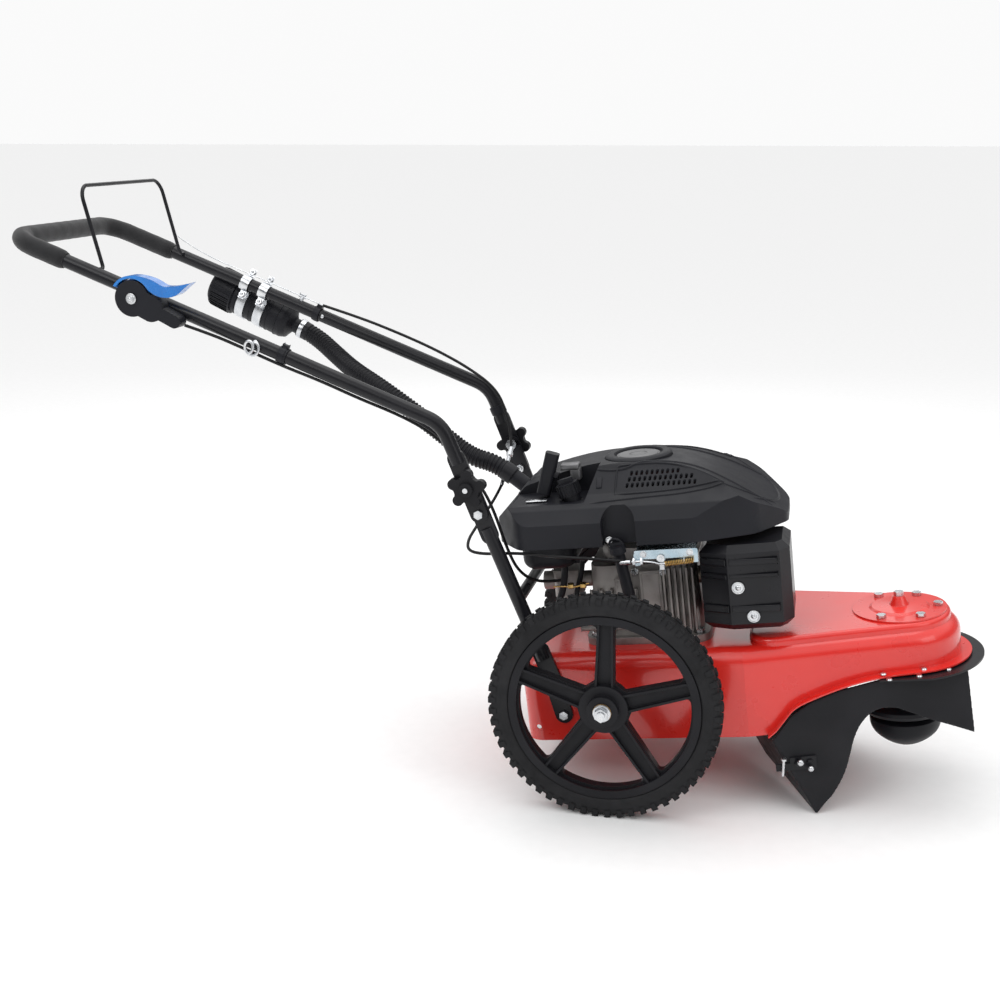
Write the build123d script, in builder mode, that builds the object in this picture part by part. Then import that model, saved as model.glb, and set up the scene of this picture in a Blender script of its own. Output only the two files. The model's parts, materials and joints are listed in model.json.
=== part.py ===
"""Wheeled petrol string trimmer: a pressed deck on two spoked wheels carries a vertical
shaft engine, a belt driven trimmer head under the nose and a folding tube handle.

Millimetres. +X is forward, +Y is the operator's left, +Z is up, the floor is z = 0.
Handle and wheels are placed from the axle's foot on the floor with at(). The deck, the
engine and the spindle share a frame that is pitched nose up about the axle: deck_at()
and deck_level() place things in it.
"""
import os
from math import asin, atan2, cos, degrees, hypot, radians, sin, sqrt, tan

from build123d import *

os.makedirs("parts", exist_ok=True)

# ---- driving dimensions -------------------------------------------------------------
AXLE_X = 209.9             # axle ahead of the origin, which is under the middle of the box
WHEEL_R = 178.0            # fourteen inch wheel
TYRE_HALF = 17.0
RIM_R = 146.4
TRACK = 222.0              # wheel's middle plane from the centre line
HUB_HALF = 26.5
AXLE_R = 6.35
RUN_FIT = 0.05             # radial clearance of a pin that turns in its hole

PITCH = 7.0                # deck, nose up
DECK_HALF = 144.0          # half width over the side walls
DECK_REAR = -147.0
DECK_FLOOR = -90.0         # lower edge of the side walls
DECK_TOP = 50.0            # level that the engine stands on
NOSE_TOP = 60.0            # raised belt housing over the nose
SHEET = 2.5
SPINDLE_X = 442.0
NOSE_R = 90.0
LIP = 16.0
GUARD_R = 124.0

CRANK_X = 55.0
CRANK_R = 11.0
SPINDLE_R = 10.0
BELT_Z = 18.0              # middle of the belt
CRANK_PULLEY_R = 38.0
SPINDLE_PULLEY_R = 48.0
COWL_FLOOR = 226.0
COWL_TOP = 336.0
COWL_WALL = 3.0

TUBE_R = 11.0
TUBE_WALL = 1.5
HANDLE_Y = 155.7           # handle tubes from the centre line
FRAME_Y = 147.0            # lower frame tubes from the centre line
PLATE = 6.0                # thickness of a flattened tube end
GRIP_R = 15.5
M8 = 4.0
M8_HEAD = 6.5              # half the width across flats

# pivots of the handle, x and z from the axle's foot
PIVOT = (-210.3, 447.2)
KNOB = (-226.5, 488.9)
BEND = (-269.0, 586.0)
CORNER = (-968.0, 853.0)
BAIL_PIVOT = (-824.5, 805.5)
THROTTLE = (-751.0, 766.5)

SIDES = {"right": -1, "left": 1}


# ---- frames and small helpers ---------------------------------------------------------
def at(x, y, z):
    """A point x ahead of the axle, y to the left, z above the floor."""
    return Vector(AXLE_X + x, y, z)


PITCH_COS = cos(radians(PITCH))
PITCH_SIN = sin(radians(PITCH))
DECK = Plane(origin=at(0, 0, WHEEL_R), x_dir=(PITCH_COS, 0, PITCH_SIN), z_dir=(-PITCH_SIN, 0, PITCH_COS))
DECK_SIDE = Plane(origin=DECK.origin, x_dir=DECK.x_dir, z_dir=(0, -1, 0))
SIDE = Plane(origin=at(0, 0, 0), x_dir=(1, 0, 0), z_dir=(0, -1, 0))


def deck_at(x, y, z):
    """A point in the pitched frame of the deck, whose origin is the axle."""
    return DECK.from_local_coords(Vector(x, y, z))


def deck_level(z, x=0.0, y=0.0):
    """A plane parallel to the deck's top at height z, centred on (x, y)."""
    return Plane(origin=deck_at(x, y, z), x_dir=DECK.x_dir, z_dir=DECK.z_dir)


def deck_side(y):
    """The deck's long section at y, seen from the right: sketch x is forward, sketch y is up."""
    return Plane(origin=deck_at(0, y, 0), x_dir=DECK.x_dir, z_dir=(0, -1, 0))


def side(y):
    """The upright long section at y, seen from the right, from the axle's foot."""
    return Plane(origin=at(0, y, 0), x_dir=(1, 0, 0), z_dir=(0, -1, 0))


def along(start, end):
    """A plane at start that faces end."""
    return Plane(origin=start, z_dir=end - start)


def save(piece, name):
    """Label a finished piece and write it as its own node."""
    piece.label = name
    export_step(piece, f"parts/{name}.step")


def rod(start, end, radius, bore=0.0):
    """A round bar or tube between two points."""
    with BuildPart() as bar:
        with BuildSketch(along(start, end)):
            Circle(radius)
            if bore:
                Circle(bore, mode=Mode.SUBTRACT)
        extrude(amount=(end - start).length)
    return bar.part


def hex_bolt(plane, length, shank=M8, flats=M8_HEAD, head=5.5):
    """A hexagon bolt: the head stands on the plane, the shank goes down from it."""
    with BuildPart() as bolt:
        with BuildSketch(plane):
            RegularPolygon(flats, 6, major_radius=False)
        extrude(amount=head)
        with BuildSketch(plane):
            Circle(shank)
        extrude(amount=-length)
    return bolt.part


def hex_nut(plane, bore, flats, height):
    """A hexagon nut standing on the plane."""
    with BuildPart() as nut:
        with BuildSketch(plane):
            RegularPolygon(flats, 6, major_radius=False)
            Circle(bore, mode=Mode.SUBTRACT)
        extrude(amount=height)
    return nut.part


def corner_radii(points, cap):
    """Arc radii for a cable: 0.45 of the shorter run over the tangent of half the turn, up to cap."""
    radii = []
    for before, corner, after in zip(points, points[1:], points[2:]):
        turn = (corner - before).get_angle(after - corner)
        run = min((corner - before).length, (after - corner).length)
        radii.append(min(cap, 0.45 * run / tan(radians(turn) / 2)))
    return radii


def tube_along(points, radius, bore=0.0, cap=400.0, name=""):
    """A tube or cable through the points, its straight runs joined by tangent arcs."""
    radii = corner_radii(points, cap)
    with BuildPart() as tube:
        with BuildLine():
            route = FilletPolyline(*points, radius=radii)
        with BuildSketch(Plane(origin=route @ 0, z_dir=route % 0)):
            Circle(radius)
            if bore:
                Circle(bore, mode=Mode.SUBTRACT)
        sweep(path=route)
    print(name, "radii", [round(r) for r in radii], "length", round(route.length, 1))
    return tube.part


# ---- wheels and axle ------------------------------------------------------------------
def wheel_frame(way):
    """The wheel's middle plane, facing out of the machine."""
    return Plane(origin=at(0, way * TRACK, WHEEL_R), x_dir=(1, 0, 0), z_dir=(0, way, 0))


def radial_frame(way):
    """A half section of the wheel: sketch x is the radius, sketch y runs out along the axle."""
    outward = Vector(0, way, 0)
    return Plane(origin=at(0, way * TRACK, WHEEL_R), x_dir=(1, 0, 0), z_dir=Vector(1, 0, 0).cross(outward))


def make_tyre(way):
    crown = 6.0
    with BuildPart() as tyre:
        with BuildSketch(radial_frame(way)) as section:
            with BuildLine():
                Polyline(
                    (RIM_R + 0.1, -12), (152, -16), (168, -TYRE_HALF), (WHEEL_R, -TYRE_HALF + crown),
                    (WHEEL_R, TYRE_HALF - crown), (168, TYRE_HALF), (152, 16), (RIM_R + 0.1, 12), close=True,
                )
            make_face()
        revolve(axis=Axis(at(0, way * TRACK, WHEEL_R), (0, way, 0)))
    return tyre.part


def rim_window(near_r, far_r, spoke_hub, spoke_rim, half):
    """The opening between two spokes, lying along sketch X."""
    near = radians(half) - asin(spoke_hub / near_r)
    far = radians(half) - asin(spoke_rim / far_r)
    near_x, near_y = near_r * cos(near), near_r * sin(near)
    far_x, far_y = far_r * cos(far), far_r * sin(far)
    with BuildSketch(mode=Mode.PRIVATE) as window:
        with BuildLine():
            Polyline((far_x, -far_y), (near_x, -near_y), (near_x, near_y), (far_x, far_y))
            ThreePointArc((far_x, far_y), (far_r, 0), (far_x, -far_y))
        make_face()
        fillet(window.vertices(), radius=8)
    return window.sketch


def make_rim(way):
    web_half, spokes = 6.0, 5
    frame = wheel_frame(way)
    window = rim_window(42.0, 131.0, 15.5, 13.0, 180 / spokes)
    with BuildPart() as rim:
        with BuildSketch(frame.offset(-web_half)):
            Circle(RIM_R)
            with PolarLocations(0, spokes, start_angle=90 + 180 / spokes):
                add(window, mode=Mode.SUBTRACT)
        extrude(amount=2 * web_half)
        with BuildSketch(frame.offset(-15)):
            Circle(RIM_R)
            Circle(134, mode=Mode.SUBTRACT)
        extrude(amount=30)
        with BuildSketch(frame.offset(-13)):
            with PolarLocations(0, spokes, start_angle=90):
                with Locations(Location((86, 11.2), -1.4), Location((86, -11.2), 1.4)):
                    Rectangle(104, 3.6)
        extrude(amount=26)
        with BuildSketch(frame.offset(-16)):
            Circle(37.5)
        extrude(amount=32)
        with BuildSketch(frame.offset(-HUB_HALF)):
            Circle(24)
        extrude(amount=2 * HUB_HALF)
        with BuildSketch(frame.offset(-HUB_HALF)):
            Circle(11)
        extrude(amount=2 * HUB_HALF, mode=Mode.SUBTRACT)
    return rim.part


def make_bushes(way):
    frame = wheel_frame(way)
    with BuildPart() as bushes:
        for end in (-1, 1):
            face = Plane(origin=frame.origin + frame.z_dir * (end * HUB_HALF), z_dir=frame.z_dir * end)
            with BuildSketch(face.offset(-18)):
                Circle(10.98)
            extrude(amount=18)
            with BuildSketch(face):
                Circle(14)
            extrude(amount=2)
        with BuildSketch(frame.offset(-40)):
            Circle(AXLE_R + RUN_FIT)
        extrude(amount=80, mode=Mode.SUBTRACT)
    return bushes.part


for label, way in SIDES.items():
    save(make_tyre(way), f"{label}_tyre")
    save(make_rim(way), f"{label}_rim")
    save(make_bushes(way), f"{label}_wheel_bushes")

BUSH_END = TRACK + HUB_HALF + 2.0
HUB_IN = TRACK - HUB_HALF - 2.0
WASHER = 2.0
save(rod(at(0, -BUSH_END - 14, WHEEL_R), at(0, BUSH_END + 14, WHEEL_R), AXLE_R), "axle")

with BuildPart() as spacers:
    for way in SIDES.values():
        add(rod(at(0, way * DECK_HALF, WHEEL_R), at(0, way * (HUB_IN - WASHER - 0.6), WHEEL_R), 10, AXLE_R))
save(spacers.part, "axle_spacers")

with BuildPart() as washers:
    for way in SIDES.values():
        for place in (HUB_IN - WASHER - 0.3, BUSH_END + 0.3):
            add(rod(at(0, way * place, WHEEL_R), at(0, way * (place + WASHER), WHEEL_R), 13.5, AXLE_R))
save(washers.part, "axle_washers")

with BuildPart() as nuts:
    for way in SIDES.values():
        seat = Plane(origin=at(0, way * (BUSH_END + WASHER + 0.3), WHEEL_R), z_dir=(0, way, 0))
        add(hex_nut(seat, AXLE_R, 9.5, 9))
save(nuts.part, "axle_nuts")


# ---- deck -----------------------------------------------------------------------------
TAPER = degrees(atan2(DECK_HALF - NOSE_R, 242.0)) - 0.25
TAPER_TAN = tan(radians(TAPER))
TAPER_START = SPINDLE_X - (DECK_HALF - NOSE_R / cos(radians(TAPER))) / TAPER_TAN


def wall_half(x):
    """Half width of the deck over its tapered sides."""
    return NOSE_R / cos(radians(TAPER)) + TAPER_TAN * (SPINDLE_X - x)


def deck_outline(grow, rear=DECK_REAR, corner=28.0):
    """The deck seen from above, moved outwards by grow: parallel sides, a taper and a round nose."""
    nose = NOSE_R + grow
    side_y = DECK_HALF + grow
    touch = (SPINDLE_X + nose * sin(radians(TAPER)), nose * cos(radians(TAPER)))
    start = TAPER_START + grow * tan(radians(TAPER) / 2)
    back = rear - grow
    flank = [(back, side_y), (start, side_y), touch]
    if back > start:
        flank = [(back, wall_half(back) + grow / cos(radians(TAPER))), touch]
    with BuildSketch(mode=Mode.PRIVATE) as outline:
        with BuildLine():
            Polyline(*flank)
            ThreePointArc(touch, (SPINDLE_X + nose, 0), (touch[0], -touch[1]))
            Polyline(*[(x, -y) for x, y in reversed(flank)])
            Line((back, -flank[0][1]), flank[0])
        make_face()
        fillet(outline.vertices().group_by(Axis.X)[0], radius=corner + grow)
    return outline.sketch


def deck_form(inset):
    """The pan's solid form, inset by a sheet's thickness for the inside."""
    shoulder = 24.0 - inset
    base = deck_outline(-inset)
    raised = deck_outline(-13 - inset, rear=200, corner=50)
    with BuildPart() as form:
        with BuildSketch(deck_level(DECK_FLOOR - inset)):
            add(base)
        extrude(amount=DECK_TOP - DECK_FLOOR)
        fillet(form.faces().sort_by(Axis(DECK.origin, DECK.z_dir))[-1].edges(), radius=shoulder)
        with BuildSketch(deck_level(DECK_TOP - 30 - inset)):
            add(raised)
        extrude(amount=NOSE_TOP - DECK_TOP + 30)
        rim_face = form.faces().sort_by(Axis(DECK.origin, DECK.z_dir))[-1]
        fillet(rim_face.edges(), radius=7 - inset)
    return form.part


def lower_edge(drop, floor):
    """Long section under the deck: level at the rear, swept up to the nose, moved down by drop."""
    with BuildSketch(mode=Mode.PRIVATE) as section:
        with BuildLine():
            Polyline((DECK_REAR - 60, floor - drop), (234, floor - drop), (247, -80 - drop))
            Line((247, -80 - drop), (268, -55 - drop))
            Spline((268, -55 - drop), (300, -36 - drop), (345, -22 - drop), (400, -12 - drop),
                   tangents=((0.62, 0.78), (1, 0.1)))
            Polyline(
                (400, -12 - drop), (430, -10 - drop), (640, -10 - drop), (640, -260), (DECK_REAR - 60, -260),
                (DECK_REAR - 60, floor - drop),
            )
        make_face()
    return section.sketch


FRAME_BOLTS = ((-94.2, 182.0), (-74.6, 124.0))
ENGINE_BOLTS = [(CRANK_X + sx * 82, sy * 82) for sx in (-1, 1) for sy in (-1, 1)]
COVER_BOLTS = [(SPINDLE_X + 58.3 * cos(radians(a)), 58.3 * sin(radians(a))) for a in (-120, -60, 0, 60, 120)]
SHIPPING_HOLE = (-125.0, -67.0)

pan_outside = deck_form(0.0)
pan_inside = deck_form(SHEET)
below_pan = lower_edge(0, DECK_FLOOR)
below_lip = lower_edge(-SHEET, DECK_FLOOR)
lip_outline = deck_outline(LIP, rear=250, corner=-14)
wall_outline = deck_outline(-SHEET / 2)

with BuildPart() as deck_pan:
    add(pan_outside)
    add(pan_inside, mode=Mode.SUBTRACT)
    with BuildSketch(DECK_SIDE):
        add(below_pan)
    extrude(amount=300, both=True, mode=Mode.SUBTRACT)
    with BuildSketch(DECK_SIDE):
        with Locations((0, 0)):
            Circle(AXLE_R + RUN_FIT)
        with Locations(SHIPPING_HOLE):
            Circle(M8)
    extrude(amount=300, both=True, mode=Mode.SUBTRACT)
    with BuildSketch(SIDE):
        with Locations(*FRAME_BOLTS):
            Circle(M8)
    extrude(amount=300, both=True, mode=Mode.SUBTRACT)
    with BuildSketch(deck_level(0)):
        with Locations((CRANK_X, 0), (SPINDLE_X, 0)):
            Circle(30)
        with Locations(*ENGINE_BOLTS, *COVER_BOLTS):
            Circle(M8)
    extrude(amount=100, mode=Mode.SUBTRACT)

with BuildPart() as lip:
    with BuildSketch(deck_level(DECK_FLOOR)):
        add(lip_outline)
        add(wall_outline, mode=Mode.SUBTRACT)
    extrude(amount=130)
    with BuildSketch(DECK_SIDE):
        add(below_lip)
    extrude(amount=300, both=True, mode=Mode.INTERSECT)
    with BuildSketch(DECK_SIDE):
        add(below_pan)
    extrude(amount=300, both=True, mode=Mode.SUBTRACT)
save(deck_pan.part.fuse(lip.part).clean(), "deck_pan")


# ---- guard plate, debris flap and line cutter under the nose -------------------------------
GUARD_Z = -12.2
GUARD = 3.0
FLAP = 4.0
FLAP_REAR = (300.0, -129.0)
FLAP_FRONT = (548.0, -76.0)
FLARE = 6.0
FLAP_TIP = (-5, 201)

with BuildPart() as guard_plate:
    with BuildSketch(deck_level(GUARD_Z - GUARD)):
        with BuildLine():
            half = radians(72)
            rim = [(SPINDLE_X + GUARD_R * cos(a), GUARD_R * sin(a)) for a in (half, 0, -half)]
            tail_x = 404
            tail = wall_half(tail_x) + 20
            ThreePointArc(*rim)
            Polyline(rim[2], (tail_x, -tail), (tail_x, tail), rim[0])
        make_face()
        with Locations((SPINDLE_X, 0)):
            Circle(31, mode=Mode.SUBTRACT)
    extrude(amount=GUARD)
save(guard_plate.part, "guard_plate")


def flap_frame(way):
    """The plane of a side panel of the flap: x runs forward along its top edge, y runs down."""
    rear_top = deck_at(FLAP_REAR[0], -way * FLAP_REAR[1], GUARD_Z - GUARD)
    front_top = deck_at(FLAP_FRONT[0], -way * FLAP_FRONT[1], GUARD_Z - GUARD)
    run = (front_top - rear_top).normalized()
    plumb = -DECK.z_dir
    sideways = run.cross(plumb).normalized() * -way
    sideways = sideways if sideways.Y * way > 0 else -sideways
    down = plumb * cos(radians(FLARE)) + sideways * sin(radians(FLARE))
    return Plane(origin=rear_top, x_dir=run, z_dir=run.cross(down))


def flap_panel(way):
    """One side of the flap, cut high over the trimmer head and low behind it."""
    with BuildPart() as panel:
        with BuildSketch(flap_frame(way)):
            with BuildLine():
                Polyline((-62, 78), (-54, 69), (-33, 44), (-1, 25), (44, 11), (104, 1), (240, 1), (243, 98))
                Polyline((243, 98), (182, 73), (132, 49))
                Spline((132, 49), (93, 50), (66, 78), (41, 144), (18, 178), FLAP_TIP,
                       tangents=((-1, -0.3), (-0.7, 0.75)))
                Line(FLAP_TIP, (-62, 78))
            make_face()
        extrude(amount=FLAP / 2, both=True)
    return panel.part


def flap_point(way, run, down):
    return flap_frame(way).from_local_coords(Vector(run, down, 0))


def rear_panel(way):
    """The flap's rear wall from a side panel's lower tip to the middle."""
    top = flap_point(way, -62, 78)
    tip = flap_point(way, *FLAP_TIP)
    inner = at(240, 0, 22)
    inner_top = at(225, 0, 78)
    facing = (tip - top).cross(inner - tip).normalized()
    with BuildPart() as panel:
        with BuildSketch(Plane(origin=tip, z_dir=facing)) as wall:
            corners = [Plane(origin=tip, z_dir=facing).to_local_coords(p) for p in (top, tip, inner, inner_top)]
            with BuildLine():
                Polyline(*[(c.X, c.Y) for c in corners], close=True)
            make_face()
        extrude(amount=FLAP / 2, both=True)
    return panel.part


with BuildPart() as debris_flap:
    for way in SIDES.values():
        add(flap_panel(way))
        add(rear_panel(way))
save(debris_flap.part, "debris_flap")

with BuildPart() as flap_rivets:
    for way in SIDES.values():
        for x, out, level in ((410, 8, -7.4), (470, 5, -7.5), (418, 21, GUARD_Z), (462, 19, GUARD_Z), (506, 4, GUARD_Z)):
            with BuildSketch(deck_level(level, x, way * (wall_half(x) + out))):
                Circle(5)
            extrude(amount=2.2, taper=30)
save(flap_rivets.part, "flap_rivets")

OUTSIDE = flap_frame(-1).offset(-FLAP / 2 - 3)
with BuildPart() as line_cutter:
    with BuildSketch(OUTSIDE):
        with Locations((-20, 118)):
            Rectangle(40, 20)
        with Locations((-50, 122)):
            Rectangle(24, 11)
    extrude(amount=3)
    with BuildSketch(OUTSIDE):
        with Locations((-28, 118), (-10, 118)):
            RegularPolygon(5, 6, major_radius=False)
    extrude(amount=-4)
save(line_cutter.part, "line_cutter")


# ---- belt drive and trimmer head ---------------------------------------------------------
def turned(points, x):
    """A body turned about a vertical shaft of the deck at x, from (radius, height) points."""
    with BuildPart() as body:
        with BuildSketch(Plane(origin=deck_at(x, 0, 0), x_dir=DECK.x_dir, z_dir=(0, -1, 0))):
            with BuildLine():
                Polyline(*points, close=True)
            make_face()
        revolve(axis=Axis(deck_at(x, 0, 0), DECK.z_dir))
    return body.part


def pulley(radius, x, bore):
    """A vee pulley with its groove at the belt's height."""
    return turned([
        (bore, BELT_Z - 14), (22, BELT_Z - 14), (22, BELT_Z - 9), (radius, BELT_Z - 9), (radius, BELT_Z - 7),
        (radius - 11, BELT_Z - 3.6), (radius - 11, BELT_Z + 3.6), (radius, BELT_Z + 7), (radius, BELT_Z + 9),
        (bore, BELT_Z + 9),
    ], x)


def belt_loop(crank_r, spindle_r):
    """The region inside a belt line: two circles joined by their outer tangents."""
    lean = (crank_r - spindle_r) / (SPINDLE_X - CRANK_X)
    up = sqrt(1 - lean**2)
    with BuildSketch(mode=Mode.PRIVATE) as loop:
        with Locations((CRANK_X, 0)):
            Circle(crank_r)
        with Locations((SPINDLE_X, 0)):
            Circle(spindle_r)
        with BuildLine():
            Polyline(
                (CRANK_X + crank_r * lean, crank_r * up), (SPINDLE_X + spindle_r * lean, spindle_r * up),
                (SPINDLE_X + spindle_r * lean, -spindle_r * up), (CRANK_X + crank_r * lean, -crank_r * up),
                close=True,
            )
        make_face()
    return loop.sketch


save(pulley(CRANK_PULLEY_R, CRANK_X, CRANK_R), "crank_pulley")
save(pulley(SPINDLE_PULLEY_R, SPINDLE_X, SPINDLE_R), "spindle_pulley")

belt_in = belt_loop(CRANK_PULLEY_R - 10.6, SPINDLE_PULLEY_R - 10.6)
belt_out = belt_loop(CRANK_PULLEY_R - 3.6, SPINDLE_PULLEY_R - 3.6)
with BuildPart() as drive_belt:
    with BuildSketch(deck_level(BELT_Z - 3)):
        add(belt_out)
        add(belt_in, mode=Mode.SUBTRACT)
    extrude(amount=6)
save(drive_belt.part, "drive_belt")

save(turned([
    (18, -15.2), (60, -15.2), (60, -20), (34, -20), (30, -25), (30, -70), (18, -70), (18, -67), (23.5, -67),
    (23.5, -17), (18, -17),
], SPINDLE_X), "spindle_housing")
with BuildPart() as bearings:
    for bottom in (-67, -31):
        add(turned([(SPINDLE_R, bottom), (23.5, bottom), (23.5, bottom + 14), (SPINDLE_R, bottom + 14)], SPINDLE_X))
save(bearings.part, "spindle_bearings")
save(turned([
    (0, -116), (M8, -116), (M8, -74), (SPINDLE_R - 0.02, -74), (SPINDLE_R - 0.02, 40), (0, 40),
], SPINDLE_X), "spindle_shaft")

with BuildPart() as trimmer_head:
    add(turned([
        (M8, -112), (30, -112), (66, -104), (70, -98), (70, -92), (64, -86), (22, -84), (22, -74), (M8, -74),
    ], SPINDLE_X))
    with BuildSketch(deck_level(-112, SPINDLE_X)):
        with PolarLocations(62, 4, start_angle=45):
            Circle(2.2)
    extrude(amount=40, mode=Mode.SUBTRACT)
save(trimmer_head.part, "trimmer_head")

with BuildPart() as glide_cup:
    with BuildSketch(deck_side(0)):
        with BuildLine():
            Polyline((SPINDLE_X, -113.5), (SPINDLE_X + 48, -113.5), (SPINDLE_X + 55, -118), (SPINDLE_X + 55, -124))
            Spline((SPINDLE_X + 55, -124), (SPINDLE_X + 44, -148), (SPINDLE_X + 22, -163), (SPINDLE_X, -167),
                   tangents=((0, -1), (-1, 0)))
            Line((SPINDLE_X, -167), (SPINDLE_X, -113.5))
        make_face()
    revolve(axis=Axis(deck_at(SPINDLE_X, 0, 0), DECK.z_dir))
    with BuildSketch(deck_level(-118, SPINDLE_X)):
        Circle(M8)
    extrude(amount=10, mode=Mode.SUBTRACT)
save(glide_cup.part, "glide_cup")

with BuildPart() as spindle_cover:
    add(turned([
        (0, NOSE_TOP), (72, NOSE_TOP), (72, NOSE_TOP + 2.5), (46, NOSE_TOP + 3), (42, NOSE_TOP + 6),
        (15, NOSE_TOP + 7), (9, NOSE_TOP + 21), (0, NOSE_TOP + 21),
    ], SPINDLE_X))
    with BuildSketch(deck_level(NOSE_TOP)):
        with Locations(*COVER_BOLTS):
            Circle(M8)
    extrude(amount=10, mode=Mode.SUBTRACT)
    with BuildSketch(deck_level(NOSE_TOP, SPINDLE_X)):
        Circle(30)
    extrude(amount=4, mode=Mode.SUBTRACT)
    with BuildSketch(deck_level(NOSE_TOP + 15, SPINDLE_X)):
        Circle(M8)
    extrude(amount=10, mode=Mode.SUBTRACT)
save(spindle_cover.part, "spindle_cover")


# ---- engine --------------------------------------------------------------------------------
BLOCK_TOP = 176.0

with BuildPart() as engine_block:
    with BuildSketch(deck_level(DECK_TOP, CRANK_X)):
        RectangleRounded(196, 196, 22)
        Circle(CRANK_R + RUN_FIT, mode=Mode.SUBTRACT)
        with Locations(*[(sx * 82, sy * 82) for sx in (-1, 1) for sy in (-1, 1)]):
            Circle(M8, mode=Mode.SUBTRACT)
    extrude(amount=12)
    with BuildSketch(deck_level(DECK_TOP + 12, CRANK_X)):
        RectangleRounded(176, 168, 26)
        Circle(CRANK_R + RUN_FIT, mode=Mode.SUBTRACT)
    extrude(amount=BLOCK_TOP - DECK_TOP - 12, taper=2)
    with BuildSketch(deck_level(BLOCK_TOP - 1, CRANK_X)):
        Circle(72)
        Circle(CRANK_R + RUN_FIT, mode=Mode.SUBTRACT)
    extrude(amount=26)
    with BuildSketch(deck_level(DECK_TOP + 20, CRANK_X)):
        for way in SIDES.values():
            with Locations(*[(34 + 9 * i, way * 83) for i in range(6)]):
                Rectangle(3, 24)
    extrude(amount=102)
    with BuildSketch(deck_side(-80)):
        with Locations((CRANK_X + 13, 135)):
            RectangleRounded(28, 60, 7)
    extrude(amount=9)
    with BuildSketch(deck_level(DECK_TOP + 11, CRANK_X)):
        with Locations(*[(sx * 82, sy * 82) for sx in (-1, 1) for sy in (-1, 1)]):
            Circle(9)
    extrude(amount=40, mode=Mode.SUBTRACT)
save(engine_block.part, "engine_block")

save(turned([
    (0, -4), (CRANK_R - 0.02, -4), (CRANK_R - 0.02, 224), (8, 224), (8, 262), (0, 262),
], CRANK_X), "crankshaft")
save(turned([
    (8, 228), (84, 228), (88, 232), (88, 250), (80, 250), (76, 240), (30, 240), (24, 256), (8, 256),
], CRANK_X), "flywheel")


def moved_in(outline, inset):
    """A clockwise outline with every side moved inwards by inset."""
    moved = []
    for i, corner in enumerate(outline):
        here = Vector(*corner)
        arriving = (here - Vector(*outline[i - 1])).normalized()
        leaving = (Vector(*outline[(i + 1) % len(outline)]) - here).normalized()
        inward = Vector(arriving.Y + leaving.Y, -arriving.X - leaving.X) / (1 + arriving.dot(leaving))
        moved.append(here + inward * inset)
    return moved


def cowl_plan(inset):
    """The cowl from above."""
    left_half = [(-168, 78), (-122, 143.5), (150, 143.5), (238, 112), (284, 48)]
    outline = left_half + [(x, -y) for x, y in reversed(left_half)]
    with BuildSketch(mode=Mode.PRIVATE) as plan:
        with BuildLine():
            Polyline(*moved_in(outline, inset), close=True)
        make_face()
        fillet(plan.vertices(), radius=34 - inset)
    return plan.sketch


def cowl_long_section(inset, floor):
    """The cowl from the side: chamfered tail, domed top, sloping nose."""
    tail = [(-170, floor), (-166, 266)]
    dome = [(-127, 303), (-24, 331), (57, COWL_TOP), (136, 326), (212, 291), (264, 256), (290, 230)]
    moved = moved_in(tail + dome + [(290, floor)], inset)
    with BuildSketch(mode=Mode.PRIVATE) as section:
        with BuildLine():
            Polyline(moved[-1], *moved[:3])
            Spline(*moved[2:-1], tangents=((1, 0.32), (0.55, -0.83)))
            Line(moved[-2], moved[-1])
        make_face()
        fillet([v for v in section.vertices() if v.Y > floor + 1], radius=12 - inset)
    return section.sketch


def cowl_cross_section(inset, floor):
    """The cowl from behind: upright sides, a bevel and a domed top."""
    half = [(-148, floor), (-148, 258), (-128, 284), (-100, 299), (-66, 327), (-56, COWL_TOP)]
    outline = half + [(-y, z) for y, z in reversed(half)]
    with BuildSketch(mode=Mode.PRIVATE) as section:
        with BuildLine():
            Polyline(*moved_in(outline, inset), close=True)
        make_face()
        fillet([v for v in section.vertices() if v.Y > floor + inset + 1], radius=9 - inset)
    return section.sketch


def cowl_form(inset, floor):
    """Where the cowl's three outlines meet."""
    plan = cowl_plan(inset)
    long_section = cowl_long_section(inset, floor)
    cross_section = cowl_cross_section(inset, floor)
    with BuildPart() as form:
        with BuildSketch(deck_level(floor)):
            add(plan)
        extrude(amount=150)
        with BuildSketch(DECK_SIDE):
            add(long_section)
        extrude(amount=200, both=True, mode=Mode.INTERSECT)
        with BuildSketch(Plane(origin=DECK.origin, x_dir=(0, 1, 0), z_dir=DECK.x_dir)):
            add(cross_section)
        extrude(amount=400, both=True, mode=Mode.INTERSECT)
    return form.part


def filler_recess(grow):
    """The arched recess in the cowl's right side that clears the oil filler."""
    with BuildPart() as recess:
        with BuildSketch(deck_side(-124 + grow)):
            with Locations((34, 236)):
                Rectangle(52 + 2 * grow, 60)
            with Locations((34, 262)):
                Circle(26 + grow)
        extrude(amount=60)
    return recess.part


def grip_recess(grow):
    """The shelf in the cowl's right rear corner that the starter grip and the fuel cap stand on."""
    with BuildPart() as recess:
        with BuildSketch(deck_side(-160 - grow)):
            with BuildLine():
                Polyline((-180, 290 - grow), (-20 + grow, 290 - grow), (4 + grow, 345), (-180, 345), close=True)
            make_face()
        extrude(amount=-124 - 2 * grow)
    return recess.part


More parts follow.
